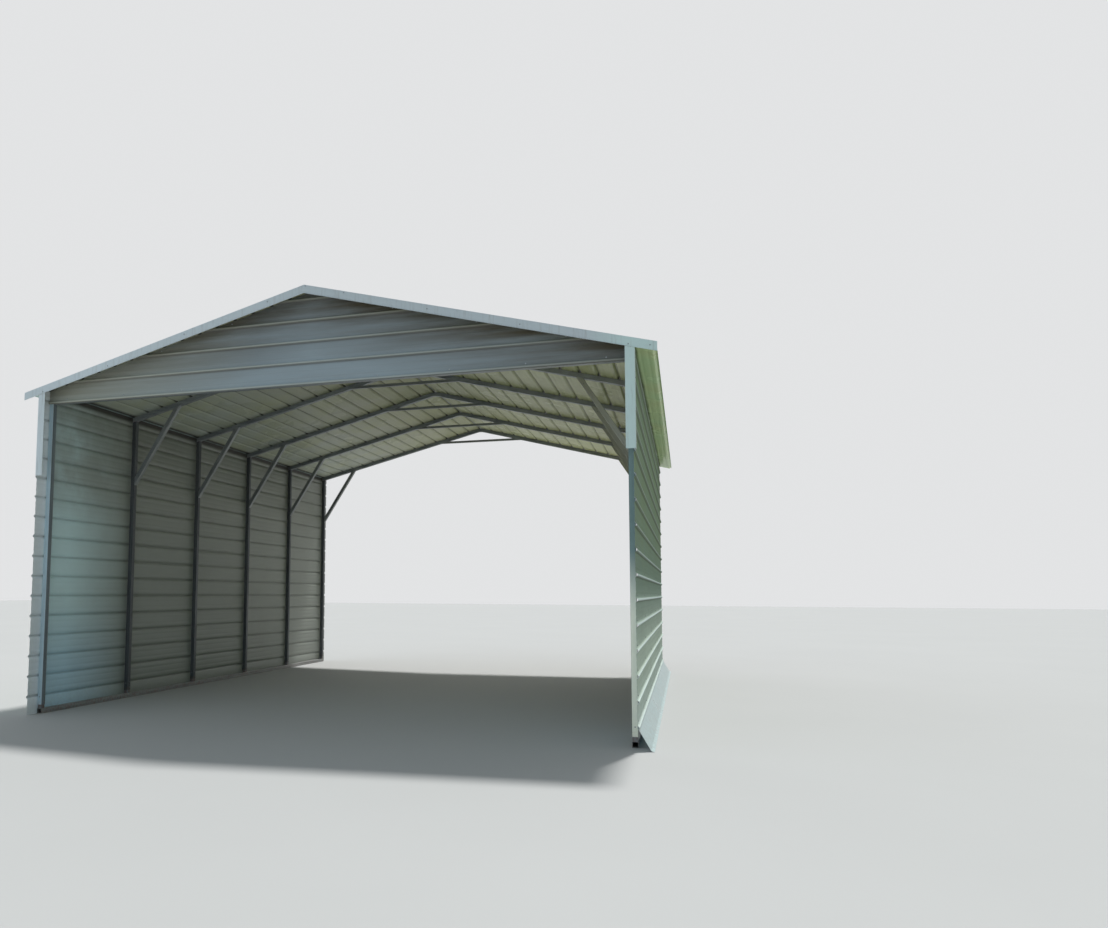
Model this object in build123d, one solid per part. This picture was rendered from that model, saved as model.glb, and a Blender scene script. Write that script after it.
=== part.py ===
from build123d import *
import math
import os

# The carport stands with its open front at -Y, its right side at +X and its rails on Z = 0.
# All sizes are in millimetres.

# Frame
width = 6706.0               # over the outer faces of the posts
frame_length = 7620.0        # over the base rails, front to back
eave_height = 3745.0         # underside of the roof sheets at the posts' outer faces
roof_pitch = 0.256           # rise over run
bow_count = 6
tube = 57.15                 # square galvanised tube, outside
tube_wall = 2.7
tube_corner = 3.0            # cut across the tube's outer corners, each way
peak_radius = 260.0          # bend of the bow at the peak, on its centreline
tie_size = 38.1              # square collar tie, outside
tie_length = 1600.0          # along its lower face
brace_drop = 820.0           # knee brace foot, below the bow's underside at the post
brace_run = 630.0            # knee brace head, inward from the post
pin_height = 180.0           # base pin, above the rail
pin_clearance = 0.4          # all round, between the pin and the post it holds
post_lift = 43.0             # bare stretch of pin between the rail and the post

# Ribbed steel sheets
sheet_overhang = 152.4       # beyond the frame at the front and at the rear
sheet_thickness = 0.5
rib_pitch = 228.6
pitches_per_sheet = 4
rib_height = 19.0
rib_top = 14.0
rib_base = 46.0
swage_height = 3.0           # the two low ribs between a pair of high ones
swage_top = 14.0
swage_base = 26.0
lap_gap = 0.3                # between two lapped sheets
lap_leg = 0.45               # share of the rib's side that the lapping edge covers
roof_overhang = 200.0        # lowest rib of the roof sheets, outward from the posts
ridge_gap = 18.0             # upper edge of the roof sheets, down the slope from the ridge
wall_top_gap = 6.0           # wall sheets, below the underside of the roof sheets
wall_first_rib = 200.0       # height of the lowest high rib of the walls
gable_first_rib = 140.0      # lowest rib of the gable, below the eave
header_rise = 16.0           # axis of the gable header, above that rib
gable_side_gap = 0.3         # between the gable and the wall sheets, and under the roof sheets

# Trims
trim_gap = 0.1               # between a trim and the highest ribs under it
rake_face = 89.0
rake_flange = 76.0
rake_lip = 6.0               # turned outward along the lower edge of the face
rake_joint = 470.0           # the left rake trim ends here, past the ridge
rake_lap = 60.0
cap_least = 120.0            # ridge cap, each side, down the slope to the rib that it rests on
cap_beyond_rib = 6.0         # from the foot of that rib to the cap's edge
cap_lip = 9.0
cap_end_gap = 1.0            # between the front of the ridge cap and the flanges of the rake trims
corner_face = 89.0
corner_flange = 89.0
corner_length = 940.0
corner_top_gap = 0.3
flashing_tuck = 5.0          # its upper edge, below the upper foot of the wall's lowest rib
flashing_leg = 10.0          # upright, against the posts
flashing_flare = 117.0       # outward from the posts, at the bend above the toe
flashing_toe = 147.0         # outward from the posts, at the tip of the toe
flashing_toe_height = 9.0    # of that bend

half_width = width / 2
half_frame = frame_length / 2
sheet_length = frame_length + 2 * sheet_overhang
half_sheet = sheet_length / 2
slope_cos = 1 / math.hypot(1, roof_pitch)
slope_sin = roof_pitch * slope_cos
ridge_height = eave_height + roof_pitch * half_width
inner_half = half_width - tube
lap_growth = sheet_thickness + lap_gap
trim_seat = rib_height + lap_growth + sheet_thickness + trim_gap
bow_spacing = (frame_length - tube) / (bow_count - 1)
bow_stations = [-half_frame + tube / 2 + i * bow_spacing for i in range(bow_count)]
pin_size = tube - 2 * (tube_wall + pin_clearance)
slope_length = (half_width + roof_overhang) / slope_cos
ridge_to_rib = slope_length % rib_pitch
if ridge_to_rib < cap_least:
    ridge_to_rib += rib_pitch
cap_leg = ridge_to_rib + rib_base / 2 + cap_beyond_rib


def roof_z(x, h=0.0):
    """Height over x of the plane that lies h above the underside of the roof sheets."""
    return ridge_height - roof_pitch * abs(x) + h / slope_cos


def prism(points, y_start, y_end):
    """A solid with the outline points, given as (x, z), from y_start to y_end."""
    plane = Plane(origin=(0, y_start, 0), x_dir=(1, 0, 0), z_dir=(0, -1, 0))
    outline = plane * make_face(Polyline(*points, close=True))
    return extrude(outline, amount=y_start - y_end)


def slope_band(x_start, x_end, h_low, h_high):
    """Outline of a band that follows the roof from x_start to x_end, over the ridge if between."""
    stops = [x_start, x_end]
    if x_start < 0 < x_end:
        stops = [x_start, 0.0, x_end]
    low = [(x, roof_z(x, h_low)) for x in stops]
    high = [(x, roof_z(x, h_high)) for x in reversed(stops)]
    return low + high


def tube_section(size):
    """Square hollow section with eased outer corners."""
    half = size / 2
    flat = half - tube_corner
    quarter = [(half, flat), (flat, half), (-flat, half), (-half, flat)]
    outline = quarter + [(-a, -b) for a, b in quarter]
    bore = size - 2 * tube_wall
    return make_face(Polyline(*outline, close=True)) - Rectangle(bore, bore)


def tube_between(start, end, size=tube):
    """A hollow square tube from start to end, with two of its faces square to Y or to X."""
    axis = Vector(*end) - Vector(*start)
    across = (1, 0, 0) if abs(axis.Y) > abs(axis.Z) + abs(axis.X) else (0, 1, 0)
    plane = Plane(origin=start, x_dir=across, z_dir=axis)
    return extrude(plane * tube_section(size), amount=axis.length)


def space_under_bow(y):
    """The clear space between two posts and under their bow, to which braces are cut."""
    underside = [(x, roof_z(x, -tube)) for x in (inner_half, 0.0, -inner_half)]
    outline = [(-inner_half, 0.0), (inner_half, 0.0)] + underside
    return prism(outline, y - tube, y + tube)


def thicken(points, thickness):
    """Outline of a folded strip: the points, and the same line moved left by the thickness."""
    line = [Vector(a, b) for a, b in points]
    normals = []
    for start, end in zip(line, line[1:]):
        step = (end - start).normalized()
        normals.append(Vector(-step.Y, step.X))
    moved = [line[0] + normals[0] * thickness]
    for corner, before, after in zip(line[1:], normals, normals[1:]):
        miter = (before + after).normalized()
        moved.append(corner + miter * (thickness / miter.dot(after)))
    moved.append(line[-1] + normals[-1] * thickness)
    return [(v.X, v.Y) for v in line + moved[::-1]]


def rib_corners(center, top, base, height, growth=0.0):
    """Four corners of a rib, grown outward by growth so that it fits over a like rib."""
    run = (base - top) / 2
    side = math.hypot(run, height)
    half_base = base / 2 + growth * side / height
    full = height + growth
    half_top = half_base - full * run / height
    return [
        (center - half_base, 0.0),
        (center - half_top, full),
        (center + half_top, full),
        (center + half_base, 0.0),
    ]


def sheet_line(pitches, plain_edge=0.0, leg=lap_leg):
    """Inner face of one sheet, across its ribs: from a flat edge, or from its lapping rib.

    The lapping rib is cut off at its crest, or down its side by the share leg.
    """
    if plain_edge > 0:
        points = [(-plain_edge, 0.0)] + rib_corners(0.0, rib_top, rib_base, rib_height)
    else:
        foot, *points = rib_corners(0.0, rib_top, rib_base, rib_height, lap_growth)
        crest = points[0]
        if leg > 0:
            cut = (crest[0] + (foot[0] - crest[0]) * leg, crest[1] * (1 - leg))
            points = [cut] + points
    for i in range(pitches):
        for share in (1 / 3, 2 / 3):
            center = (i + share) * rib_pitch
            points += rib_corners(center, swage_top, swage_base, swage_height)
        points += rib_corners((i + 1) * rib_pitch, rib_top, rib_base, rib_height)
    return points


def cut_line(points, limit):
    """The line up to the limit, along its first coordinate."""
    kept = [points[0]]
    for start, end in zip(points, points[1:]):
        if end[0] > limit:
            share = (limit - start[0]) / (end[0] - start[0])
            kept.append((limit, start[1] + (end[1] - start[1]) * share))
            break
        kept.append(end)
    return kept


def folded_sheet(plane, line, length):
    """A sheet whose inner face has the given line across its ribs, on the plane's x and y."""
    section = make_face(Polyline(*thicken(line, sheet_thickness), close=True))
    return extrude(plane * section, amount=length)


def lapped_sheets(plane, reach, length, plain_edge=0.0, first_leg=lap_leg):
    """Sheets lapped rib over rib, up to reach from the first rib."""
    cover = pitches_per_sheet * rib_pitch
    sheets = []
    start = 0.0
    while start < reach - rib_base:
        edge, leg = (plain_edge, first_leg) if start == 0 else (0.0, lap_leg)
        line = cut_line(sheet_line(pitches_per_sheet, edge, leg), reach - start)
        sheets.append(folded_sheet(plane * Pos(start, 0), line, length))
        start += cover
    return sheets


def base_rail(side):
    x = side * (half_width - tube / 2)
    return tube_between((x, -half_frame, tube / 2), (x, half_frame, tube / 2))


def base_pins(side):
    """Short tubes that stand on the rail and hold the posts."""
    x = side * (half_width - tube / 2)
    return Compound(
        [tube_between((x, y, tube), (x, y, tube + pin_height), pin_size) for y in bow_stations]
    )


def post(side, y):
    """Wall post, cut at its top to the slope of the bow."""
    x = side * (half_width - tube / 2)
    stock = tube_between((x, y, tube + post_lift), (x, y, ridge_height))
    below_bow = [(x - tube, 0.0), (x + tube, 0.0)]
    below_bow += [(x + tube, roof_z(x + tube, -tube)), (x - tube, roof_z(x - tube, -tube))]
    return stock & prism(below_bow, y - tube, y + tube)


def bow(y):
    """Pair of rafters from one tube, bent at the peak and cut plumb at the posts' outer faces."""
    reach = half_width + tube
    corners = [(x, y, roof_z(x, -tube / 2)) for x in (-reach, 0.0, reach)]
    path = FilletPolyline(*corners, radius=peak_radius)
    plane = Plane(origin=path @ 0, x_dir=(0, 1, 0), z_dir=path % 0)
    stock = sweep(plane * tube_section(tube), path=path)
    limits = prism(
        [(-half_width, 0.0), (half_width, 0.0), (half_width, 2 * ridge_height),
         (-half_width, 2 * ridge_height)],
        y - tube, y + tube,
    )
    return stock & limits


def collar_tie(y):
    """Level tube under the peak, cut at both ends to the undersides of the rafters."""
    z = roof_z(tie_length / 2, -tube) + tie_size / 2
    stock = tube_between((-tie_length, y, z), (tie_length, y, z), tie_size)
    return stock & space_under_bow(y)


def knee_brace(side, y):
    """Sloping tube from the inner face of a post to the underside of the bow."""
    foot = Vector(side * inner_half, y, roof_z(inner_half, -tube) - brace_drop)
    head_x = inner_half - brace_run
    head = Vector(side * head_x, y, roof_z(head_x, -tube))
    spare = (head - foot).normalized() * 2 * tube
    stock = tube_between(tuple(foot - spare), tuple(head + spare))
    return stock & space_under_bow(y)


def gable_header():
    """Level tube between the front posts, behind the lower edge of the gable."""
    z = eave_height - gable_first_rib + header_rise
    return tube_between((-inner_half, bow_stations[0], z), (inner_half, bow_stations[0], z))


def wall_sheets(side):
    """Sheets of a side wall. The left ones reach the floor, the right ones stop over a flashing."""
    plane = Plane(
        origin=(side * half_width, -side * half_sheet, wall_first_rib),
        x_dir=(0, 0, 1), z_dir=(0, side, 0),
    )
    reach = eave_height - wall_top_gap - wall_first_rib
    plain_edge = wall_first_rib if side < 0 else 0.0
    return Compound(lapped_sheets(plane, reach, sheet_length, plain_edge, first_leg=0.0))


def roof_sheets(side):
    edge = half_width + roof_overhang
    plane = Plane(
        origin=(side * edge, -side * half_sheet, roof_z(edge)),
        x_dir=(-side * slope_cos, 0, slope_sin), z_dir=(0, side, 0),
    )
    return Compound(lapped_sheets(plane, slope_length - ridge_gap, sheet_length))


def gable_sheet():
    """Sheet with level ribs on the front bow, cut to the slopes of the roof."""
    bottom = eave_height - gable_first_rib
    rise = ridge_height - bottom
    half = half_width - gable_side_gap
    plane = Plane(origin=(-half, -half_frame, bottom), x_dir=(0, 0, 1), z_dir=(1, 0, 0))
    line = cut_line(sheet_line(math.ceil(rise / rib_pitch)), rise)
    outline = [(-half, 0.0), (half, 0.0)]
    outline += [(x, roof_z(x, -gable_side_gap)) for x in (half, 0.0, -half)]
    below_roof = prism(outline, -half_frame - tube, -half_frame + tube)
    return folded_sheet(plane, line, 2 * half) & below_roof


def ridge_cap():
    """Folded cap from the flanges of the front rake trims to the rear ends of the roof sheets."""
    half = cap_leg * slope_cos
    front = -half_sheet + rake_flange + cap_end_gap
    low, high = trim_seat, trim_seat + sheet_thickness
    cap = prism(slope_band(-half, half, low, high), front, half_sheet)
    for side in (-1, 1):
        inner, outer = sorted((side * half, side * (half - sheet_thickness)))
        cap += prism(slope_band(inner, outer, low - cap_lip, high), front, half_sheet)
    return cap


def rake_trim(x_start, x_end, layer):
    """Folded edge trim over the front ends of the roof sheets. Layer 1 laps over layer 0."""
    lift = layer * (sheet_thickness + trim_gap)
    top = trim_seat + lift + sheet_thickness
    bottom = top - rake_face
    back = -half_sheet - lift
    front = back - sheet_thickness
    face = prism(slope_band(x_start, x_end, bottom, top), front, back)
    flange = prism(
        slope_band(x_start, x_end, top - sheet_thickness, top), front, back + rake_flange,
    )
    lip = prism(
        slope_band(x_start, x_end, bottom, bottom + sheet_thickness), front - rake_lip, back,
    )
    return face + flange + lip


def corner_trim(side):
    """Folded trim on the front edge of a wall, from under the rake trim down."""
    outer = half_width + trim_seat + sheet_thickness
    inner = outer - corner_face
    drop = trim_seat + sheet_thickness - rake_face - corner_top_gap
    bottom = roof_z(outer, drop) - corner_length
    face_outline = [(side * x, z) for x, z in (
        (inner, bottom), (outer, bottom), (outer, roof_z(outer, drop)), (inner, roof_z(inner, drop)),
    )]
    edge = outer - sheet_thickness
    flange_outline = [(side * x, z) for x, z in (
        (edge, bottom), (outer, bottom), (outer, roof_z(outer, drop)), (edge, roof_z(edge, drop)),
    )]
    face = prism(face_outline, -half_sheet - sheet_thickness, -half_sheet)
    flange = prism(flange_outline, -half_sheet - sheet_thickness, -half_sheet + corner_flange)
    return face + flange


def base_flashing():
    """Flared strip that closes the foot of the right wall, with its upper leg behind the sheet."""
    top = wall_first_rib + rib_base / 2 - flashing_tuck
    line = [
        (half_width, top),
        (half_width, top - flashing_leg),
        (half_width + flashing_flare, flashing_toe_height),
        (half_width + flashing_toe, 0.0),
    ]
    return prism(thicken(line, sheet_thickness), -half_sheet, half_sheet)


def build():
    tip = half_width + roof_overhang + rib_base / 2
    parts = {
        "left_base_rail": base_rail(-1),
        "right_base_rail": base_rail(1),
        "left_base_pins": base_pins(-1),
        "right_base_pins": base_pins(1),
        "gable_header": gable_header(),
        "left_wall_sheets": wall_sheets(-1),
        "right_wall_sheets": wall_sheets(1),
        "left_roof_sheets": roof_sheets(-1),
        "right_roof_sheets": roof_sheets(1),
        "gable_sheet": gable_sheet(),
        "ridge_cap": ridge_cap(),
        "left_corner_trim": corner_trim(-1),
        "right_corner_trim": corner_trim(1),
        "right_base_flashing": base_flashing(),
        "left_rake_trim": rake_trim(-tip, rake_joint, 1),
        "right_rake_trim": rake_trim(rake_joint - rake_lap, tip, 0),
    }
    for number, y in enumerate(bow_stations, start=1):
        parts[f"bow_{number}"] = bow(y)
        parts[f"left_post_{number}"] = post(-1, y)
        parts[f"right_post_{number}"] = post(1, y)
        if number > 1:
            parts[f"collar_tie_{number}"] = collar_tie(y)
    for name, side in (("left", -1), ("right", 1)):
        braces = [knee_brace(side, y) for y in bow_stations[1:]]
        parts[f"{name}_knee_braces"] = Compound([brace.solid() for brace in braces])
    return parts


os.makedirs("parts", exist_ok=True)
for node, shape in build().items():
    export_step(shape, f"parts/{node}.step")
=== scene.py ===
import math

import bpy
import numpy as np
from bpy.props import FloatProperty, FloatVectorProperty, PointerProperty
from mathutils import Matrix, Vector


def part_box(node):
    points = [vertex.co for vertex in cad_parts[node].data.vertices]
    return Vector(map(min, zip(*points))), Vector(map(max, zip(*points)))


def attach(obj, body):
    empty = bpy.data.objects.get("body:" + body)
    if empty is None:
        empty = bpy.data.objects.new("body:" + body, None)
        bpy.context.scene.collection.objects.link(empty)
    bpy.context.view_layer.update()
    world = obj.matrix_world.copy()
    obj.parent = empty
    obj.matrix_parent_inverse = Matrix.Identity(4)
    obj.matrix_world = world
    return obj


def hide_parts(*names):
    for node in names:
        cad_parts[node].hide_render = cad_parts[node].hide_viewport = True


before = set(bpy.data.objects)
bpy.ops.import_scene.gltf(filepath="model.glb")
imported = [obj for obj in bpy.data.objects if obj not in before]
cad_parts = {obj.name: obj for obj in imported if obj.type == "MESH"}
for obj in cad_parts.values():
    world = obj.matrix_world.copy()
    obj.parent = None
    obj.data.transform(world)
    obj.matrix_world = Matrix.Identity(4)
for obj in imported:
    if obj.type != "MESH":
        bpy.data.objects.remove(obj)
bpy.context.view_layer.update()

bl_info = {
    "name": "Steel carport",
    "version": (1, 0, 0),
    "blender": (4, 5, 0),
    "location": "3D View > Sidebar > Carport",
    "description": "Dresses the carport's solids with folded sheets, trims, screws, welds and finishes",
    "category": "Object",
}

# The frame stands with its open front at -Y, its right side at +X and its rails on Z = 0, in metres.
HALF_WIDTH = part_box("right_post_1")[1].x
HALF_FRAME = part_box("right_base_rail")[1].y
HALF_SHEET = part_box("right_roof_sheets")[1].y
HALF_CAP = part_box("ridge_cap")[1].x
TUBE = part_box("right_base_rail")[1].z
# The knee braces' feet, down the posts from the bows, and their heads, inward from the posts
BRACE_DROP, BRACE_RUN = 0.82, 0.63
BOW_NUMBERS = range(1, 7)
BOW_STATIONS = np.array([sum(corner.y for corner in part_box(f"bow_{n}")) / 2 for n in BOW_NUMBERS])
SIDES = ((-1, "left"), (1, "right"))

# How finely the sheets and trims are divided: steps along them, where the corner trims' step is a
# share of their length, and the longest facets across their profiles
SHEET_STEP, TRIM_STEP, RAKE_STEP, CORNER_STEP = 0.142, 0.12, 0.045, 0.06
SHEET_FACET, TRIM_FACET, FLASHING_FACET = 0.036, 0.03, 0.1
PITCHES_PER_SHEET = 4

# Where the random draws of each kind of piece start
SEEDS = {
    "wall": 11, "roof": 21, "gable": 31, "rake": 42, "cap": 53, "corner": 61, "flashing": 71,
    "wall_screws": 80, "foot_screws": 86, "roof_screws": 90, "gable_screws": 97, "rake_screws": 100,
    "flange_screws": 103, "cap_screws": 107, "corner_screws": 109, "pin_screws": 121,
    "brace_screws": 130, "tie_screws": 140, "welds": 150,
}


# Properties

def length(name, description, default):
    """A size in metres."""
    return FloatProperty(
        name=name, description=description, default=default, unit="LENGTH", precision=4)


def factor(name, description, default, highest=1.0):
    """A share from 0 to 1, or a strength up to highest."""
    return FloatProperty(
        name=name, description=description, default=default, min=0.0, max=highest,
        subtype="FACTOR" if highest == 1.0 else "NONE")


def colour(name, description, default):
    """A linear colour."""
    return FloatVectorProperty(
        name=name, description=description, default=default, size=3, min=0.0, max=1.0,
        subtype="COLOR")


class CarportSheets(bpy.types.PropertyGroup):
    """Sizes of the ribbed sheets"""
    eave_height: length("Eave height", "Underside of the roof at the posts' outer faces", 3.745)
    roof_pitch: FloatProperty(name="Roof pitch", description="Rise over run", default=0.256)
    rib_pitch: length("Rib pitch", "From one high rib to the next", 0.2286)
    rib_height: length("Rib height", "Height of the high ribs", 0.019)
    rib_top: length("Rib top", "Width of a high rib's crest", 0.014)
    rib_base: length("Rib base", "Width of a high rib at its foot", 0.046)
    swage_height: length("Swage height", "Height of the low ribs between", 0.0019)
    swage_top: length("Swage top", "Width of a low rib's crest", 0.009)
    swage_base: length("Swage base", "Width of a low rib at its foot", 0.033)
    thickness: length("Thickness", "Thickness of sheets and trims", 0.0005)
    lap_gap: length("Lap gap", "Between two lapped sheets", 0.0003)
    lap_leg: factor("Lap leg", "Share of the rib's side that the lapping edge covers", 0.45)
    roof_overhang: length("Roof overhang", "Lowest roof rib, outward from the posts", 0.2)
    ridge_gap: length("Ridge gap", "Upper edge of the roof sheets, from the ridge", 0.018)
    wall_top_gap: length("Wall top gap", "Wall sheets, below the roof sheets", 0.002)
    wall_first_rib: length("First wall rib", "Height of the lowest wall rib", 0.2)
    gable_first_rib: length("First gable rib", "Lowest gable rib, below the eave", 0.14)
    gable_gap: length("Gable gap", "Round the gable sheet", 0.0003)
    bend_radius: length("Bend radius", "Inside of the rolled bends", 0.003)
    ripple: length("Ripple", "Depth of the waves in the flat pans", 0.0008)


class CarportTrims(bpy.types.PropertyGroup):
    """Sizes of the folded trims"""
    gap: length("Trim gap", "Between a trim and the ribs under it", 0.0001)
    rake_face: length("Rake face", "Height of a rake trim", 0.089)
    rake_flange: length("Rake flange", "Upper leg of a rake trim", 0.076)
    rake_lip: length("Rake lip", "Lip along a rake trim's lower edge", 0.006)
    rake_joint: length("Rake joint", "End of the left rake trim, past the ridge", 0.47)
    rake_lap: length("Rake lap", "Overlap of the two rake trims", 0.06)
    cap_lip: length("Cap lip", "Lip along the ridge cap's edges", 0.009)
    cap_end_gap: length("Cap end gap", "Between the cap and the rake trims", 0.001)
    corner_face: length("Corner face", "Front leg of a corner trim", 0.089)
    corner_flange: length("Corner flange", "Side leg of a corner trim", 0.089)
    corner_length: length("Corner length", "Length of a corner trim", 0.94)
    corner_top_gap: length("Corner gap", "Under the rake trims", 0.0003)
    flashing_tuck: length("Flashing tuck", "Below the upper foot of the lowest rib", 0.005)
    flashing_leg: length("Flashing leg", "Upright leg against the posts", 0.01)
    flashing_flare: length("Flashing flare", "Outward from the posts", 0.117)
    flashing_toe: length("Flashing toe", "Tip of the toe, outward from the posts", 0.147)
    flashing_toe_height: length("Toe height", "Bend above the toe", 0.009)
    fold_radius: length("Fold radius", "Inside of the folds", 0.0018)


class CarportFasteners(bpy.types.PropertyGroup):
    """Sizes of the screws and welds"""
    head_radius: length("Head radius", "Hexagonal head, over its corners", 0.0047)
    head_height: length("Head height", "Hexagonal head, above its washer", 0.0042)
    washer_radius: length("Washer radius", "Washer under the head", 0.0078)
    beside_rib: length("Beside the rib", "Screws, above the axis of a high rib", 0.043)
    weld_radius: length("Weld radius", "Thickness of the weld beads", 0.0034)


class CarportColours(bpy.types.PropertyGroup):
    """Colours of the finishes, and of the painted light, shade and reflections on them"""
    wall: colour("Wall", "Coat of the walls outside", (0.52, 0.61, 0.51))
    # Painted shade and a painted blue reflection on the walls outside, above breast height
    upper_wall_shade: colour("Wall, upper", "Film on the walls above breast height", (0.20, 0.275, 0.225))
    # Painted highlight on the tops of the wall ribs, and painted light low on the walls outside
    wall_highlight: colour("Wall, ribs", "Bleached tops of the low wall ribs", (0.72, 0.82, 0.80))
    wall_inside: colour("Wall inside", "Backer coat of the walls", (0.70, 0.92, 0.92))
    # Painted cool sky light low on the walls inside and at the far left under the roof
    cool_skylight: colour("Wall inside, low", "Cool film low on the walls inside", (0.47, 0.72, 0.90))
    # Painted shade deep inside the carport and high up on the walls inside
    painted_deep_shade: colour("Shade film", "Olive film deep inside", (0.30, 0.315, 0.27))
    # Painted light on the front edges of the walls inside
    painted_front_light: colour("Bleached", "Front edges of the walls inside", (0.92, 0.97, 0.98))
    roof: colour("Roof", "Coat of the roof above", (0.46, 0.485, 0.475))
    roof_inside: colour("Roof underside", "Backer coat of the roof", (0.46, 0.485, 0.26))
    # Painted light: a greyer tone under the left slope of the roof
    left_roof_light: colour("Roof, left", "Duller film under the left slope", (0.475, 0.475, 0.37))
    # Painted reflection: a paler tone under the right slope of the roof
    right_roof_reflection: colour("Roof, right", "Paler film under the right slope", (0.66, 0.68, 0.36))
    # Painted green reflection under the right eave; darkened, painted shade and green reflection high on
    # the walls outside
    green_reflection: colour("Algae", "Green film under the right eave", (0.50, 0.645, 0.375))
    gable: colour("Gable", "Coat of the gable", (0.275, 0.325, 0.35))
    # Painted light on the gable's left, and painted highlights on the gable's ribs
    gable_left_light: colour("Gable, left", "Paler film at the gable's left", (0.47, 0.48, 0.40))
    # Painted shade on the gable under the rakes' overhang and towards its right
    gable_shade: colour("Grime", "Brown-grey film under the rakes", (0.092, 0.082, 0.060))
    trim: colour("Trim", "Coat of the trims", (0.60, 0.66, 0.68))
    # Painted green light on the right corner trim
    right_trim_green_light: colour("Trim, right", "Greener film on the right corner", (0.53, 0.68, 0.64))
    flashing: colour("Flashing", "Coat of the foot flashing", (0.37, 0.50, 0.50))
    zinc_dark: colour("Zinc, dark", "Weathered parts of the galvanised tube", (0.12, 0.135, 0.15))
    zinc_light: colour("Zinc, light", "Clean parts of the galvanised tube", (0.27, 0.29, 0.30))
    # Darkened, this colour is also painted shade in rib grooves, over bows, on faces that look down and at
    # the eaves
    dirt: colour("Dirt", "Splashed soil and runs", (0.20, 0.18, 0.14))
    # Pale dust; its heavier share on the right side is partly painted light
    dust: colour("Dust", "Pale dust on the braces", (0.50, 0.50, 0.40))
    # Painted light on the left front post's front faces
    left_post_light: colour("Post, left", "Cool film on the left front post", (0.39, 0.49, 0.54))
    # Painted light on the right front post's front faces
    right_post_light: colour("Post, right", "Green-grey film on the right front post", (0.125, 0.182, 0.177))
    # Painted reflection of the lit floor low on the right front post's front faces
    low_post_reflection: colour("Post, low", "Bright film low on the right front post", (0.82, 0.84, 0.71))
    rust: colour("Rust", "Rust on cut ends and near the floor", (0.23, 0.085, 0.03))
    rubber: colour("Rubber", "Sealing washers", (0.035, 0.035, 0.037))
    floor: colour("Floor", "Studio floor", (0.45, 0.45, 0.438))


class CarportLight(bpy.types.PropertyGroup):
    """Strengths of the studio lights"""
    key: factor("Key", "Overhead key light", 3.4, 20.0)
    key_angle: FloatProperty(
        name="Key angle", description="Apparent width of the key light", default=math.radians(5),
        subtype="ANGLE")
    backdrop: factor("Backdrop", "Pale backdrop behind the carport", 0.78, 20.0)
    front: factor("Front fill", "Soft light from before the carport", 0.80, 20.0)
    top: factor("Top fill", "Soft light from above", 0.36, 20.0)
    right: factor("Right fill", "Soft light from the right, low down", 0.10, 20.0)


GROUPS = {
    "carport_sheets": CarportSheets,
    "carport_trims": CarportTrims,
    "carport_fasteners": CarportFasteners,
    "carport_colours": CarportColours,
    "carport_light": CarportLight,
}


# Curves and surfaces as arrays

def roof_z(sheets, x, h=0.0, blunt=0.0):
    """Height over x of the plane that lies h above the underside of the roof: the ridge height less
    the pitch times |x|, with h measured square to the slope. blunt rounds the ridge off."""
    ridge = sheets.eave_height + sheets.roof_pitch * HALF_WIDTH
    distance = np.sqrt(np.square(x) + blunt ** 2)
    return ridge - sheets.roof_pitch * distance + h * math.hypot(1, sheets.roof_pitch)


def waves(seed, u, v, longest, shortest, count=7):
    """Mean of cosines of u and v, with seeded wavelengths, headings and phases, from 0 to 1."""
    rng = np.random.default_rng(seed)
    number = 2 * math.pi / rng.uniform(shortest, longest, count)
    heading = rng.uniform(0, math.pi, count)
    phase = rng.uniform(0, 2 * math.pi, count)
    u, v = np.broadcast_arrays(u, v)
    along = u[..., None] * np.cos(heading) + v[..., None] * np.sin(heading)
    return 0.5 + 0.5 * np.cos(along * number + phase).mean(-1)


def rib_points(top, base, height, growth=0.0):
    """Four corners of a rib about 0, moved outward by growth, so that it fits over a like rib."""
    run = (base - top) / 2
    half_base = base / 2 + growth * math.hypot(run, height) / height
    full = height + growth
    half_top = half_base - full * run / height
    return np.array([(-half_base, 0), (-half_top, full), (half_top, full), (half_base, 0)])


def sheet_profile(sheets, pitches, plain_edge=0.0, leg=None):
    """Inner face of one sheet across its ribs, as corners (along the sheet's width, outward)."""
    growth = 0.0 if plain_edge else sheets.thickness + sheets.lap_gap
    high = (sheets.rib_top, sheets.rib_base, sheets.rib_height)
    first = rib_points(*high, growth)
    if plain_edge:
        start = np.vstack([[(-plain_edge, 0.0)], first])
    elif leg:
        start = np.vstack([[first[1] + (first[0] - first[1]) * leg], first[1:]])
    else:
        start = first[1:]
    low = rib_points(sheets.swage_top, sheets.swage_base, sheets.swage_height)
    third = np.array([sheets.rib_pitch / 3, 0.0])
    one_pitch = np.vstack([low + third, low + 2 * third, rib_points(*high) + 3 * third])
    steps = np.arange(pitches)[:, None, None] * 3 * third
    return np.vstack([start, (one_pitch + steps).reshape(-1, 2)])


def cut_at(points, limit):
    """The part of a line whose first coordinate is below the limit, ending on it."""
    below = points[:, 0] < limit
    if below.all():
        return points
    end = (limit, np.interp(limit, points[:, 0], points[:, 1]))
    return np.vstack([points[below], [end]])


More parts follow.
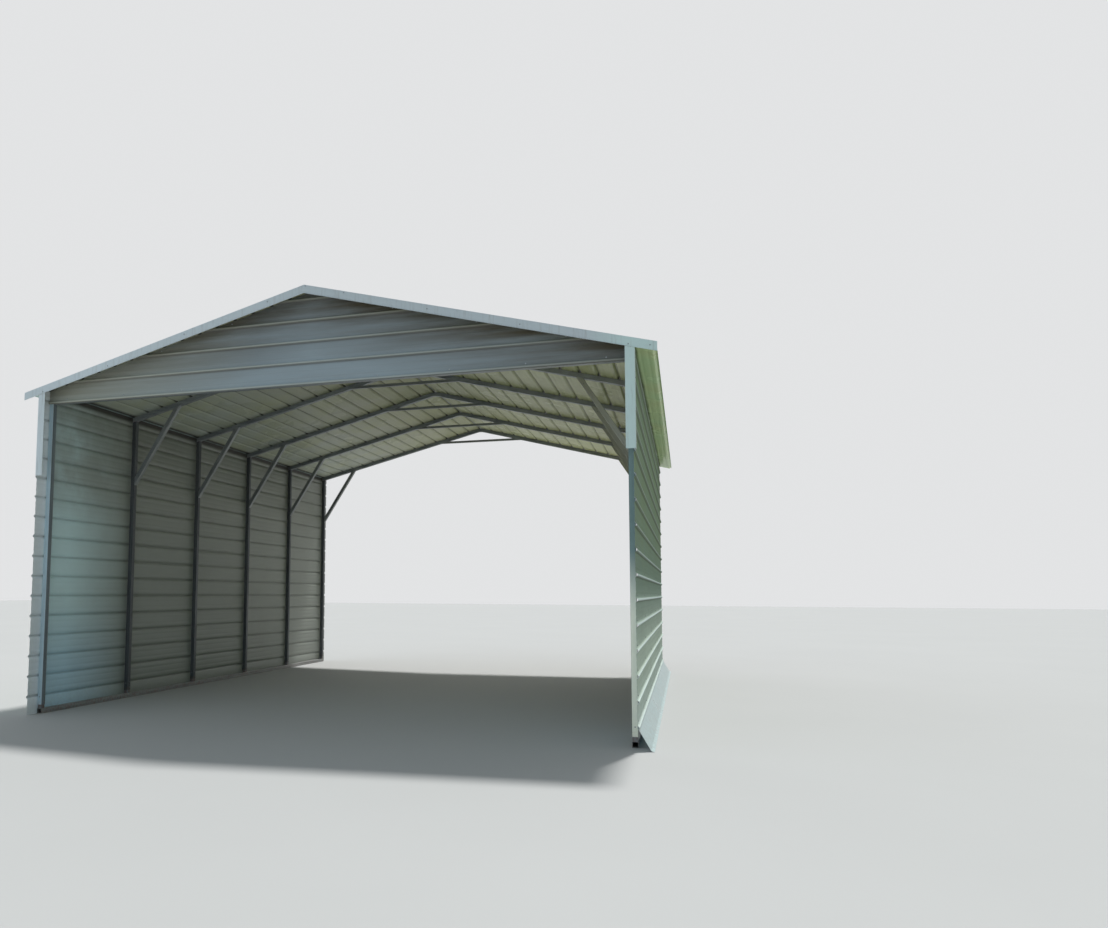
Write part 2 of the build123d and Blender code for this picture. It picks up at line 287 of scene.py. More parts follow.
def rounded(points, radius, steps=2):
    """The line with each corner swapped for a short parabola between two points on its legs, which
    lie radius * tan(turn / 2) from the corner."""
    corner = points[1:-1]
    back, ahead = corner - points[:-2], points[2:] - corner
    back_length = np.linalg.norm(back, axis=1, keepdims=True)
    ahead_length = np.linalg.norm(ahead, axis=1, keepdims=True)
    back, ahead = back / back_length, ahead / ahead_length
    turn = np.arccos(np.clip((back * ahead).sum(1, keepdims=True), -1, 1))
    reach = np.minimum(radius * np.tan(turn / 2), 0.4 * np.minimum(back_length, ahead_length))
    start, end = (corner - back * reach)[:, None], (corner + ahead * reach)[:, None]
    s = np.linspace(0, 1, steps)[None, :, None]
    arc = (1 - s) ** 2 * start + 2 * s * (1 - s) * corner[:, None] + s ** 2 * end
    line = np.vstack([points[:1], arc.reshape(-1, 2), points[-1:]])
    return line[np.append(True, np.linalg.norm(np.diff(line, axis=0), axis=1) > 1e-7)]


def halved(points, longest):
    """The line with one more point in the middle of each leg that is longer than longest."""
    legs = np.linalg.norm(np.diff(points, axis=0), axis=1)
    found = np.flatnonzero(legs > longest)
    middle = (points[found] + points[found + 1]) / 2
    return np.insert(points, found + 1, middle, axis=0)


def beside(points, distance):
    """The same line moved to its left by distance, with mitred corners."""
    legs = np.diff(points, axis=0)
    legs /= np.linalg.norm(legs, axis=1, keepdims=True)
    normals = np.stack([-legs[:, 1], legs[:, 0]], 1)
    before = np.vstack([normals[:1], normals])
    after = np.vstack([normals, normals[-1:]])
    miter = before + after
    miter /= np.linalg.norm(miter, axis=1, keepdims=True)
    return points + miter * distance / (miter * after).sum(1, keepdims=True)


class Skin:
    """Vertices and faces of one piece, gathered from shells and copies. Each vertex also keeps how
    high on a rib it lies, from 0 on the pan to 1 on the crest, for the dust, painted shade and
    painted highlights on the ribs."""

    def __init__(self):
        self.points, self.ribs, self.faces, self.slots, self.count = [], [], [], [], 0

    def add(self, points, faces, slot, rib=0.0):
        """Takes up points and groups of faces, each group with the number of its slot."""
        points = points.reshape(-1, 3)
        self.points.append(points)
        self.ribs.append(np.broadcast_to(rib, len(points)))
        for group, number in zip(faces, slot):
            if len(group):
                self.faces += (group + self.count).tolist()
                self.slots += [number] * len(group)
        self.count += len(points)

    def shell(self, outer, inner, quads=None, corners=None, rib=0.0):
        """A closed sheet from two like grids: the outer faces, the inner ones turned round, and a rim
        on each edge that belongs to one face alone. Slots: 0 coat, 1 backer, 2 cut edge."""
        rows, columns = outer.shape[:2]
        index = np.arange(rows * columns).reshape(rows, columns)
        if quads is None:
            quads = grid_quads(index)
            corners = np.empty((0, 3), int)
        flat_outer, flat_inner = outer.reshape(-1, 3), inner.reshape(-1, 3)
        a, b, c = (flat_outer[quads[:, k]] for k in (0, 1, 2))
        outward = (flat_outer - flat_inner)[quads[:, 0]]
        if (np.cross(b - a, c - a) * outward).sum() < 0:
            quads, corners = quads[:, ::-1], corners[:, ::-1]
        loops = [np.stack([f, np.roll(f, -1, axis=1)], -1).reshape(-1, 2) for f in (quads, corners)]
        edges = np.vstack(loops)
        _, first, uses = np.unique(np.sort(edges, axis=1), axis=0, return_index=True, return_counts=True)
        rim = edges[first[uses == 1]]
        shift = rows * columns
        band = np.stack([rim[:, 1], rim[:, 0], rim[:, 0] + shift, rim[:, 1] + shift], 1)
        faces = [quads, corners, quads[:, ::-1] + shift, corners[:, ::-1] + shift, band]
        rib = np.tile(np.broadcast_to(rib, (rows, columns)).ravel(), 2)
        self.add(np.concatenate([flat_outer, flat_inner]), faces, (0, 0, 1, 1, 2), rib)

    def make(self, name, materials, sharp=35.0):
        """The piece as an object at the origin that rides on the frame. Unused points are dropped."""
        points = np.concatenate(self.points)
        used, place = np.unique(np.concatenate([np.array(f) for f in self.faces]), return_inverse=True)
        sizes = np.array([len(f) for f in self.faces])
        faces = np.split(place, np.cumsum(sizes)[:-1])
        mesh = bpy.data.meshes.new(name)
        mesh.from_pydata(points[used], [], faces)
        ribs = np.concatenate(self.ribs)[used]
        if ribs.any():
            mesh.attributes.new("rib", "FLOAT", "POINT").data.foreach_set("value", ribs.astype(np.float32))
        mesh.polygons.foreach_set("material_index", np.array(self.slots, np.int32))
        mesh.polygons.foreach_set("use_smooth", np.ones(len(faces), bool))
        for material in materials:
            mesh.materials.append(material)
        mesh.update()
        mesh.set_sharp_from_angle(angle=math.radians(sharp))
        if mesh.validate():
            raise RuntimeError(f"{name} has broken faces")
        piece = bpy.data.objects.new(name, mesh)
        bpy.context.scene.collection.objects.link(piece)
        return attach(piece, "root")


def grid_quads(index):
    """Faces between neighbouring points of a grid of indices."""
    corners = (index[:-1, :-1], index[1:, :-1], index[1:, 1:], index[:-1, 1:])
    return np.stack(corners, -1).reshape(-1, 4)


def stations(start, end, step):
    """Even places from start to end, about a step apart."""
    return np.linspace(start, end, max(2, round(abs(end - start) / step) + 1))


def folded(skin, line, radius, along, place, thickness, steps=3, longest=0.05, lift=None, rib=None):
    """A folded strip: a profile with rounded folds, carried along the stations by place(a, b, t), its
    outer face thickness to the left of its inner one. lift(a, b, t) moves both faces outward. rib is
    the height of the ribs."""
    inner = halved(rounded(np.asarray(line, float), radius, steps), longest)
    outer = beside(inner, thickness)
    out = (outer - inner) / thickness
    t = along[None, :]
    extra = 0.0 if lift is None else lift(inner[:, :1], inner[:, 1:], t)

    def grid(profile):
        """The profile at every station, moved outward by the lift."""
        a = profile[:, :1] + out[:, :1] * extra + 0 * t
        b = profile[:, 1:] + out[:, 1:] * extra + 0 * t
        return np.stack(place(a, b, t + 0 * a), -1)

    skin.shell(grid(outer), grid(inner), rib=np.clip(inner[:, 1:] / rib, 0, 1) if rib else 0.0)


# Materials

def node(tree, kind, inputs=None, **settings):
    """A shader node with its settings, and its sockets filled by values or by links."""
    made = tree.nodes.new("ShaderNode" + kind)
    for name, value in settings.items():
        setattr(made, name, value)
    for key, value in (inputs or {}).items():
        if isinstance(value, bpy.types.NodeSocket):
            tree.links.new(value, made.inputs[key])
        else:
            made.inputs[key].default_value = value
    return made


def new_material(name):
    """An empty material, its node tree and the object's coordinates."""
    material = bpy.data.materials.new(name)
    material.use_nodes = True
    tree = material.node_tree
    tree.nodes.clear()
    return material, tree, node(tree, "TexCoord").outputs["Object"]


def split(tree, vector):
    """The three coordinates of a vector, by the names X, Y and Z."""
    return node(tree, "SeparateXYZ", {0: vector}).outputs


def facing(tree, axis):
    """How far the face looks along an axis, from -1 to 1."""
    return split(tree, node(tree, "NewGeometry").outputs["Normal"])[axis]


def noise(tree, place, scale, detail=3.0, roughness=0.55, stretch=(1, 1, 1)):
    """Noise on the object's coordinates, drawn out by the stretch along each axis."""
    mapped = node(tree, "Mapping", {"Vector": place, "Scale": stretch}).outputs[0]
    made = node(tree, "TexNoise", {
        "Vector": mapped, "Scale": scale, "Detail": detail, "Roughness": roughness})
    return made.outputs["Fac"]


def ranged(tree, value, low, high, to_low=0.0, to_high=1.0):
    """The value taken from the range low to high over to the range to_low to to_high, and held there."""
    return node(tree, "MapRange", {
        "Value": value, "From Min": low, "From Max": high, "To Min": to_low, "To Max": to_high,
    }).outputs[0]


def product(tree, first, second):
    """One value times the other."""
    return node(tree, "Math", {0: first, 1: second}, operation="MULTIPLY").outputs[0]


def from_middle(tree, axes):
    """Distance from the carport's middle plane, |X|."""
    return node(tree, "Math", {0: axes["X"]}, operation="ABSOLUTE").outputs[0]


def mixed(tree, share, first, second):
    """Colour mixed from first to second by share."""
    made = node(tree, "Mix", data_type="RGBA")
    for socket, value in ((made.inputs[0], share), (made.inputs[6], first), (made.inputs[7], second)):
        if isinstance(value, bpy.types.NodeSocket):
            tree.links.new(value, socket)
        elif isinstance(value, float):
            socket.default_value = value
        else:
            socket.default_value = (*value, 1.0)
    return made.outputs[2]


def shade(base, amount):
    """The base colour made darker or lighter by the amount."""
    return tuple(c * amount for c in base)


def surface(tree, base, roughness, metallic, bump=None, **fixed):
    """The shader and the output. Each fixed value goes on the shader's own socket."""
    shader = node(tree, "BsdfPrincipled", {"Base Color": base, "Roughness": roughness,
                                           "Metallic": metallic})
    for name, value in fixed.items():
        shader.inputs[name.replace("_", " ")].default_value = value
    if bump is not None:
        tree.links.new(bump, shader.inputs["Normal"])
    node(tree, "OutputMaterial", {"Surface": shader.outputs[0]})


def bumped(tree, height, distance, strength=1.0, onto=None):
    """A bump of the height, on top of another where one is given."""
    inputs = {"Height": height, "Distance": distance, "Strength": strength}
    if onto is not None:
        inputs["Normal"] = onto
    return node(tree, "Bump", inputs).outputs[0]


def film(tree, tone, share, colour, times=None):
    """The tone mixed towards the colour, where share, or share times a value, is near 1: a thin film
    of dirt in some uses, painted light and shade in others.
    """
    if times is not None:
        share = product(tree, share, times)
    return mixed(tree, share, tone, colour)


def coat(name, base, colours, run, dirt, gloss, splash=0.0, films=(), hollow=0.0, crest=(),
         bow_shade=0.0, shine=0.5, lee=0.0, smear=(1, 1, 1)):
    """Coil coat on steel: a base colour with chalky patches, faint runs of dirt along the axis that
    run draws out, soil splashed up from the floor, and a slightly uneven skin. Each of the films is a
    colour and a function that works out its share from the place, with True where the film is even
    and not mottled; the films given are painted light, shade and reflections. hollow darkens the
    grooves inside the ribs with dust and painted shade. crest is a painted highlight on the ribs'
    tops, with a function for its share. soot is painted shade in the grooves over the bows and
    on the pans beside them, but not under the eaves. lee is painted shade on the faces that look
    down, and smear draws out the patches."""
    material, tree, place = new_material(name)
    axes = split(tree, place)
    patches = noise(tree, place, 0.9, 4.0, stretch=smear)
    tone = mixed(tree, ranged(tree, patches, 0.35, 0.7), shade(base, 0.94), shade(base, 1.05))
    mottle = ranged(tree, noise(tree, place, 2.2, 6.0, 0.6, smear), 0.32, 0.62, 0.45, 1.0)
    for colour_of_film, share_at, *even in films:
        tone = film(tree, tone, share_at(tree, axes), colour_of_film, None if even else mottle)
    runs = noise(tree, place, 3.2, 5.0, 0.62, run)
    spots = noise(tree, place, 26.0)
    tone = film(tree, tone, product(tree, ranged(tree, runs, 0.52, 0.74), dirt), colours.dirt)
    tone = film(tree, tone, product(tree, ranged(tree, spots, 0.62, 0.80), 0.3 * dirt),
                shade(colours.dirt, 0.7))
    if splash:
        near = product(tree, ranged(tree, axes["Z"], 0.45, 0.0), ranged(tree, spots, 0.36, 0.66))
        tone = film(tree, tone, product(tree, near, splash), colours.dirt)
    if hollow or crest or bow_shade:
        rib = node(tree, "Attribute", attribute_name="rib").outputs["Fac"]
    if bow_shade:
        under = ranged(tree, from_middle(tree, axes), HALF_WIDTH + 0.03, HALF_WIDTH)
        rib = product(tree, rib, under)
    # Dust and painted shade in the grooves inside the ribs
    if hollow:
        tone = film(tree, tone, ranged(tree, rib, 0.55, 1.0, 0.0, hollow), shade(colours.dirt, 0.25))
    # Painted highlight on the ribs' tops
    if crest:
        colour_of_crest, share_at = crest
        tone = film(tree, tone, ranged(tree, rib, 0.35, 0.95), colour_of_crest, share_at(tree, axes))
    # Painted shade in the grooves over the bows and on the pans beside them
    if bow_shade:
        from_bow = distance_to_bow(tree, axes["Y"])
        groove = product(tree, ranged(tree, from_bow, 0.13, 0.04), ranged(tree, rib, 0.03, 0.3, 0.3, 1.0))
        tone = film(tree, tone, product(tree, groove, bow_shade), shade(colours.dirt, 0.2), under)
    # Painted shade on the faces that look down
    if lee:
        downward = ranged(tree, facing(tree, "Z"), -0.08, -0.5, 0.0, lee)
        tone = film(tree, tone, downward, shade(colours.dirt, 0.25))
    grain = noise(tree, place, 420.0, 2.0)
    wavy = noise(tree, place, 4.5, 2.0)
    bump = bumped(tree, wavy, 0.0020, 0.3)
    bump = bumped(tree, grain, 0.0001, 0.3, bump)
    rough = ranged(tree, patches, 0.3, 0.75, gloss - 0.05, gloss + 0.08)
    surface(tree, tone, rough, 0.0, bump, Specular_IOR_Level=shine)
    return material


def distance_to_bow(tree, y):
    """Distance along the carport to the nearest bow: the bows stand evenly, so it goes to and fro."""
    spacing = float(BOW_STATIONS[1] - BOW_STATIONS[0])
    from_first = node(tree, "Math", {0: y, 1: float(BOW_STATIONS[0])}, operation="SUBTRACT").outputs[0]
    return node(tree, "Math", {0: from_first, 1: spacing / 2}, operation="PINGPONG").outputs[0]


def below_roof(sheets, reach):
    """A share that is 1 along the slope of the roof and 0 at reach under it, for painted shade."""
    def share(tree, axes):
        line = node(tree, "Math", {0: from_middle(tree, axes), 1: sheets.roof_pitch, 2: axes["Z"]},
                    operation="MULTIPLY_ADD").outputs[0]
        ridge = sheets.eave_height + sheets.roof_pitch * HALF_WIDTH
        return ranged(tree, line, ridge - reach, ridge - 0.06)
    return share


def along_eave(sheets):
    """A share that is near 1 inside the carport where the roof meets the walls, for painted shade."""
    def share(tree, axes):
        far = from_middle(tree, axes)
        inside = ranged(tree, far, HALF_WIDTH + 0.035, HALF_WIDTH + 0.02)
        corner = product(tree, ranged(tree, far, HALF_WIDTH - 0.09, HALF_WIDTH - 0.04), inside)
        return product(tree, corner, ranged(
            tree, axes["Z"], sheets.eave_height - 0.09, sheets.eave_height - 0.04, 0.0, 0.95))
    return share


def between(axis, start, end, highest=1.0, lowest=0.0):
    """A film's share that goes from lowest to highest between two places on an axis."""
    return lambda tree, axes: ranged(tree, axes[axis], start, end, lowest, highest)


def less_left(share_at, left):
    """The same share, made weaker by the factor left on the left side."""
    return lambda tree, axes: product(
        tree, share_at(tree, axes), ranged(tree, axes["X"], -1.0, 1.0, left, 1.0))


def beyond_wall(side):
    """A share that is 1 outside the wall on that side, for painted light and reflections under the eaves.
    """
    return lambda tree, axes: ranged(
        tree, axes["X"], side * (HALF_WIDTH - 0.01), side * (HALF_WIDTH + 0.03))


def galvanised(name, colours, along, rust=0.0, lighter=1.0, painted_front_light=0.0, dust=(0.0, 0.0)):
    """Galvanised tube: zinc that has gone dull in streaks drawn out along the tube, a fine spangle,
    chalky bloom, pale dust, and rust near the floor. lighter darkens or lightens the zinc by kind
    of tube, as painted shade and light. bleached is the strength of the painted light on the front
    posts' front faces, with a painted reflection of the lit floor low on the right one. dust is its
    share at the left and at the right; the heavier share on the right is partly painted light."""
    material, tree, place = new_material(name)
    drawn = tuple(0.6 if axis in along else 14.0 for axis in "XYZ")
    streaks = noise(tree, place, 2.4, 5.0, 0.6, drawn)
    cells = node(tree, "TexVoronoi", {"Vector": place, "Scale": 95.0}, feature="F1")
    spangle = node(tree, "SeparateColor", {0: cells.outputs["Color"]}).outputs[0]
    blotches = noise(tree, place, 3.1, 5.0, 0.65)
    dark, light = shade(colours.zinc_dark, lighter), shade(colours.zinc_light, lighter)
    tone = mixed(tree, ranged(tree, streaks, 0.30, 0.70), dark, light)
    tone = mixed(tree, product(tree, spangle, 0.16), tone, shade(light, 1.35))
    bloom = product(tree, ranged(tree, blotches, 0.56, 0.74), 0.30)
    tone = mixed(tree, bloom, tone, shade(colours.zinc_light, 1.75 * lighter))
    axes = split(tree, place)
    # Pale dust, with a heavier share on the right that is partly painted light
    if max(dust):
        tone = film(tree, tone, ranged(tree, axes["X"], 0.2, 2.4, *dust), colours.dust)
    # Painted light on the front posts' front faces, and a painted floor reflection low on the right
    if painted_front_light:
        forward = ranged(tree, facing(tree, "Y"), -0.5, -0.9, 0.25, 1.0)
        front = product(tree, ranged(tree, axes["Y"], -2.9, -3.7), forward)
        low_right = product(tree, ranged(tree, axes["X"], 0.0, 1.0), ranged(tree, axes["Z"], 1.8, 1.2))
        pale = mixed(tree, ranged(tree, axes["X"], -1.0, 1.0),
                     shade(colours.left_post_light, painted_front_light), shade(colours.right_post_light, painted_front_light))
        tone = film(tree, tone, product(tree, front, ranged(tree, streaks, 0.3, 0.7, 0.75, 1.0)), pale)
        tone = film(tree, tone, product(tree, front, low_right), colours.low_post_reflection)
    if rust:
        fine = noise(tree, place, 38.0, 6.0, 0.7)
        near = product(tree, ranged(tree, axes["Z"], 0.16, 0.0), ranged(tree, fine, 0.44, 0.60))
        tone = mixed(tree, product(tree, near, rust), tone, colours.rust)
    rough = ranged(tree, blotches, 0.3, 0.7, 0.38, 0.62)
    bump = bumped(tree, noise(tree, place, 160.0), 0.0002, 0.4)
    surface(tree, tone, rough, 0.45, bump, Specular_IOR_Level=0.5)
    return material


def bare_edge(colours):
    """Sheared edge of coated sheet: bright zinc with specks of rust."""
    material, tree, place = new_material("sheared_edge")
    specks = noise(tree, place, 60.0, 5.0, 0.7)
    tone = mixed(tree, ranged(tree, specks, 0.55, 0.68), shade(colours.zinc_light, 1.5), colours.rust)
    surface(tree, tone, 0.5, 0.5)
    return material


def screw_metal(name, base, metallic, colours):
    """Screw head: a plated or painted hexagon, dulled in patches."""
    material, tree, place = new_material(name)
    tone = mixed(tree, ranged(tree, noise(tree, place, 7.0), 0.35, 0.65), shade(base, 0.75), base)
    fine = noise(tree, place, 900.0, 2.0)
    tone = mixed(tree, product(tree, ranged(tree, fine, 0.60, 0.72), 0.5), tone, colours.rust)
    surface(tree, tone, 0.42, metallic)
    return material


def rubber(colours):
    """Black rubber of the washers, with dust on it."""
    material, tree, place = new_material("washer_rubber")
    dust = noise(tree, place, 300.0)
    tone = mixed(tree, ranged(tree, dust, 0.45, 0.8), colours.rubber, shade(colours.dirt, 0.8))
    surface(tree, tone, 0.8, 0.0)
    return material


def weld_metal(colours):
    """Weld bead painted over with zinc paint, rusting through at its toes."""
    material, tree, place = new_material("painted_weld")
    patches = noise(tree, place, 55.0, 4.0)
    tone = mixed(tree, ranged(tree, patches, 0.50, 0.66), shade(colours.zinc_light, 1.3), colours.rust)
    bump = bumped(tree, patches, 0.0006, 0.6)
    surface(tree, tone, 0.5, 0.35, bump)
    return material


def studio_floor(base):
    """Plain pale floor, very slightly uneven in tone."""
    material, tree, place = new_material("studio_floor")
    broad = noise(tree, place, 0.35, 4.0)
    tone = mixed(tree, ranged(tree, broad, 0.3, 0.7), shade(base, 0.985), shade(base, 1.01))
    surface(tree, tone, 0.9, 0.0, Specular_IOR_Level=0.2)
    return material


def shared(name, make):
    """The material of that name, made on its first use."""
    return bpy.data.materials.get(name) or make()


def wall_backer(sheets, colours):
    """The backer coat inside the walls, which also backs the gable and the trims."""
    return shared("wall_backer", lambda: coat(
        "wall_backer", colours.wall_inside, colours, run=(0.6, 0.6, 0.6), dirt=0.12, gloss=0.40,
        splash=0.12, films=[
            # Painted sky light low down, painted shade inside and at the eaves, painted light at the front
            (colours.cool_skylight, between("Z", 1.3, 0.5, 0.6), True),
            (colours.painted_deep_shade, between("Y", -3.4, -2.3, 0.96), True),
            (colours.painted_deep_shade, between("Z", 2.2, 2.75, 0.72)),
            (shade(colours.painted_deep_shade, 0.75), between("Z", 3.0, 3.75, 0.6)),
            (shade(colours.dirt, 0.2), along_eave(sheets), True),
            (colours.painted_front_light, between("Y", -HALF_FRAME + 0.06, -HALF_FRAME - 0.02), True)],
        # Dust and painted shade in the rib grooves
        hollow=0.25, shine=0.4))


def trim_coat(colours):
    """The coat of the rake trims, the corner trims and the ridge cap."""
    return shared("trim_coat", lambda: coat(
        "trim_coat", colours.trim, colours, run=(14.0, 14.0, 1.2), dirt=0.30, gloss=0.42,
        # Painted shade right of the middle, and painted green light on the right corner
        films=[(shade(colours.trim, 0.78), between("X", -2.6, 0.4, 0.9), True),
               (colours.right_trim_green_light, between("X", 2.9, 3.32, 0.8), True)]))


def sheet_materials(outside, inside, colours):
    """The three slots of a folded sheet: coat, backer and cut edge."""
    return outside, inside, shared("sheared_edge", lambda: bare_edge(colours))


def plated_screw(colours):
    """Zinc plating of the bare screws."""
    return shared("screw_plated", lambda: screw_metal(
        "screw_plated", shade(colours.zinc_light, 1.1), 0.7, colours))


def washer_rubber(colours):
    """The sealing washers' rubber, made once for all the screws."""
    return shared("washer_rubber", lambda: rubber(colours))


# Sheets

def wall_place(sheets, side):
    """Across the ribs is up the wall, and outward is away from the frame."""
    return lambda a, b, t: (side * (HALF_WIDTH + b), t, sheets.wall_first_rib + a)


def roof_place(sheets, side):
    """Across the ribs is up the slope, and outward is square to it."""
    cos = 1 / math.hypot(1, sheets.roof_pitch)
    sin = sheets.roof_pitch * cos
    edge = HALF_WIDTH + sheets.roof_overhang
    foot = float(roof_z(sheets, edge))
    return lambda a, b, t: (side * (edge - a * cos + b * sin), t, foot + a * sin + b * cos)


def pan_ripple(sheets, seed, start):
    """Waves in the pans, outward only: none on the ribs, most between them, and more towards the
    loose ends of the sheet."""
    def lift(a, b, t):
        """The ripple's depth times the square of a sine across the pan, times the waves. Past the
        frame's ends the depth grows with the square of the way to the sheet's end."""
        across = a + start
        pan = np.sin(math.pi * across / sheets.rib_pitch) ** 2
        end = np.clip((np.abs(t) - HALF_FRAME) / (HALF_SHEET - HALF_FRAME), 0, 1)
        depth = sheets.ripple * (1 + 1.6 * end ** 2)
        return depth * pan * waves(seed, across, t, longest=1.9, shortest=0.35)
    return lift


def lapped_panels(skin, sheets, place, reach, seed, plain_edge=0.0, first_leg=None):
    """Sheets lapped rib over rib, from the first rib up to reach, each carried front to back."""
    along = stations(-HALF_SHEET, HALF_SHEET, SHEET_STEP)
    start, first = 0.0, True
    while start < reach - sheets.rib_base:
        edge, leg = (plain_edge, first_leg) if first else (0.0, sheets.lap_leg)
        line = cut_at(sheet_profile(sheets, PITCHES_PER_SHEET, edge, leg), reach - start)
        offset = start
        folded(
            skin, line, sheets.bend_radius, along,
            lambda a, b, t: place(a + offset, b, t), sheets.thickness, steps=2, longest=SHEET_FACET,
            lift=pan_ripple(sheets, seed, offset), rib=sheets.rib_height)
        start += PITCHES_PER_SHEET * sheets.rib_pitch
        first = False


def slope_length(sheets):
    """From the ridge to the axis of the lowest roof rib, down the slope."""
    return (HALF_WIDTH + sheets.roof_overhang) * math.hypot(1, sheets.roof_pitch)


def gable_bottom(sheets):
    """Height of the gable's lowest rib."""
    return sheets.eave_height - sheets.gable_first_rib


def gable_grids(sheets):
    """The gable's profile carried from side to side, with a station wherever a point of the profile
    meets the slope. Faces above the slope are left out and those on it are halved, which cuts the
    sheet exactly to the roof. The pans are lifted by the ripple's depth times the square of a sine
    across them, times the waves."""
    bottom = gable_bottom(sheets)
    half = HALF_WIDTH - sheets.gable_gap
    limit = float(roof_z(sheets, 0.0, -sheets.gable_gap)) - bottom
    pitches = math.ceil(limit / sheets.rib_pitch)
    line = cut_at(sheet_profile(sheets, pitches, leg=sheets.lap_leg), limit)
    inner = halved(rounded(line, sheets.bend_radius), SHEET_FACET)
    outer = beside(inner, sheets.thickness)
    outer[:, 0] = inner[:, 0]
    height = inner[:, 0]
    crossing = (limit - height) / sheets.roof_pitch
    right = np.unique(np.round(np.append(crossing[crossing < half], [0.0, half]), 9))
    x = np.concatenate([-right[:0:-1], right])
    top = limit - sheets.roof_pitch * np.abs(x)
    bend = np.sin(math.pi * height[:, None] / sheets.rib_pitch) ** 2
    ripples = waves(SEEDS["gable"], height[:, None], x[None, :], longest=1.6, shortest=0.3)
    lift = sheets.ripple * bend * ripples

    def grid(profile):
        """The profile at every station across the front, moved outward by the lift."""
        y = -HALF_FRAME - profile[:, 1:] - lift
        return np.stack([x + 0 * y, y, bottom + profile[:, :1] + 0 * y], -1)

    rows, columns = len(height), len(x)
    index = np.arange(rows * columns).reshape(rows, columns)
    room = top[None, :] - height[:, None] > -1e-7
    inside = np.stack([room[:-1, :-1], room[1:, :-1], room[1:, 1:], room[:-1, 1:]], -1)
    around = np.stack([index[:-1, :-1], index[1:, :-1], index[1:, 1:], index[:-1, 1:]], -1)
    count = inside.sum(-1)
    quads = around[count == 4]
    corners = around[count == 3][inside[count == 3]].reshape(-1, 3)
    rib = np.clip(inner[:, 1:] / sheets.rib_height, 0, 1)
    return grid(outer), grid(inner), quads, corners, rib


class CARPORT_OT_walls(bpy.types.Operator):
    """Folds the wall sheets, with rolled bends and slightly rippled pans"""
    bl_idname = "carport.walls"
    bl_label = "Wall sheets"

    def execute(self, context):
        sheets, colours = context.scene.carport_sheets, context.scene.carport_colours
        outside = coat(
            "wall_coat", colours.wall, colours, run=(6, 0.5, 6), dirt=0.15, gloss=0.45, splash=0.4,
            # Painted shade and reflections high up, painted light low down, and painted highlights and
            # shade on the ribs
            films=[(colours.upper_wall_shade, less_left(between("Z", 0.8, 1.55, 0.86), 0.35), True),
                   (shade(colours.green_reflection, 0.52), less_left(between("Z", 1.3, 2.3, 0.72), 0.35)),
                   (colours.wall_highlight, between("Z", 0.6, 0.28, 0.5))],
            crest=(colours.wall_highlight, between("Z", 2.1, 1.5, 0.7, 0.28)), shine=0.0, lee=0.45)
        materials = sheet_materials(outside, wall_backer(sheets, colours), colours)
        reach = sheets.eave_height - sheets.wall_top_gap - sheets.wall_first_rib
        for side, name in SIDES:
            skin = Skin()
            plain_edge = sheets.wall_first_rib if side < 0 else 0.0
            lapped_panels(skin, sheets, wall_place(sheets, side), reach, SEEDS["wall"] + side,
                          plain_edge)
            piece = skin.make(f"{name}_wall_panels", materials)
            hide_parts(f"{name}_wall_sheets")
        return {"FINISHED"}


class CARPORT_OT_roof(bpy.types.Operator):
    """Folds the roof sheets of both slopes"""
    bl_idname = "carport.roof"
    bl_label = "Roof sheets"

    def execute(self, context):
        sheets, colours = context.scene.carport_sheets, context.scene.carport_colours
        above = coat("roof_coat", colours.roof, colours, run=(0.7, 8.0, 0.7), dirt=0.35, gloss=0.36)
        below = coat(
            "roof_backer", colours.roof_inside, colours, run=(0.5, 0.5, 0.5), dirt=0.10, gloss=0.26,
            # Painted light and reflections by slope and beyond the walls, and painted shade at the eaves
            films=[(colours.left_roof_light, between("X", 1.0, -1.6, 0.95)),
                   (colours.cool_skylight, between("X", -0.8, -2.8, 0.16)),
                   (colours.right_roof_reflection, between("X", 0.6, 2.4, 0.95)),
                   (shade(colours.dirt, 0.2), along_eave(sheets), True),
                   (colours.green_reflection, beyond_wall(1)), (colours.wall_inside, beyond_wall(-1))],
            # Dust and painted shade in the grooves, and painted shade over the bows
            hollow=0.5, bow_shade=0.8, shine=0.05)
        materials = sheet_materials(above, below, colours)
        reach = slope_length(sheets) - sheets.ridge_gap
        for side, name in SIDES:
            skin = Skin()
            lapped_panels(skin, sheets, roof_place(sheets, side), reach, SEEDS["roof"] + side,
                          first_leg=sheets.lap_leg)
            piece = skin.make(f"{name}_roof_panels", materials)
            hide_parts(f"{name}_roof_sheets")
        return {"FINISHED"}


class CARPORT_OT_gable(bpy.types.Operator):
    """Folds the gable sheet and cuts it to the slopes"""
    bl_idname = "carport.gable"
    bl_label = "Gable sheet"

    def execute(self, context):
        sheets, colours = context.scene.carport_sheets, context.scene.carport_colours
        outside = coat(
            "gable_coat", colours.gable, colours, run=(0.5, 6.0, 3.0), dirt=0.12, gloss=0.42,
            # Painted shade under the rakes and to the right, and painted light to the left
            films=[(colours.gable_shade, below_roof(sheets, 0.72)),
                   (colours.gable_shade, between("X", 0.6, 2.8, 0.26)),
                   (colours.gable_left_light, between("X", -0.6, -3.0, 0.52), True)],
            # Painted highlights on the ribs, and painted shade on faces that look down
            crest=(colours.gable_left_light, between("X", 3.4, -3.4, 0.65, 0.3)), shine=0.25,
            lee=0.5, smear=(0.3, 1.0, 4.0))
        skin = Skin()
        skin.shell(*gable_grids(sheets))
        piece = skin.make(
            "gable_panel", sheet_materials(outside, wall_backer(sheets, colours), colours))
        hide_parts("gable_sheet")
        return {"FINISHED"}


# Trims

def trim_seat(sheets, trims):
    """Height of a trim's lower face above the roof's underside: on top of the lapped ribs."""
    return sheets.rib_height + 2 * sheets.thickness + sheets.lap_gap + trims.gap


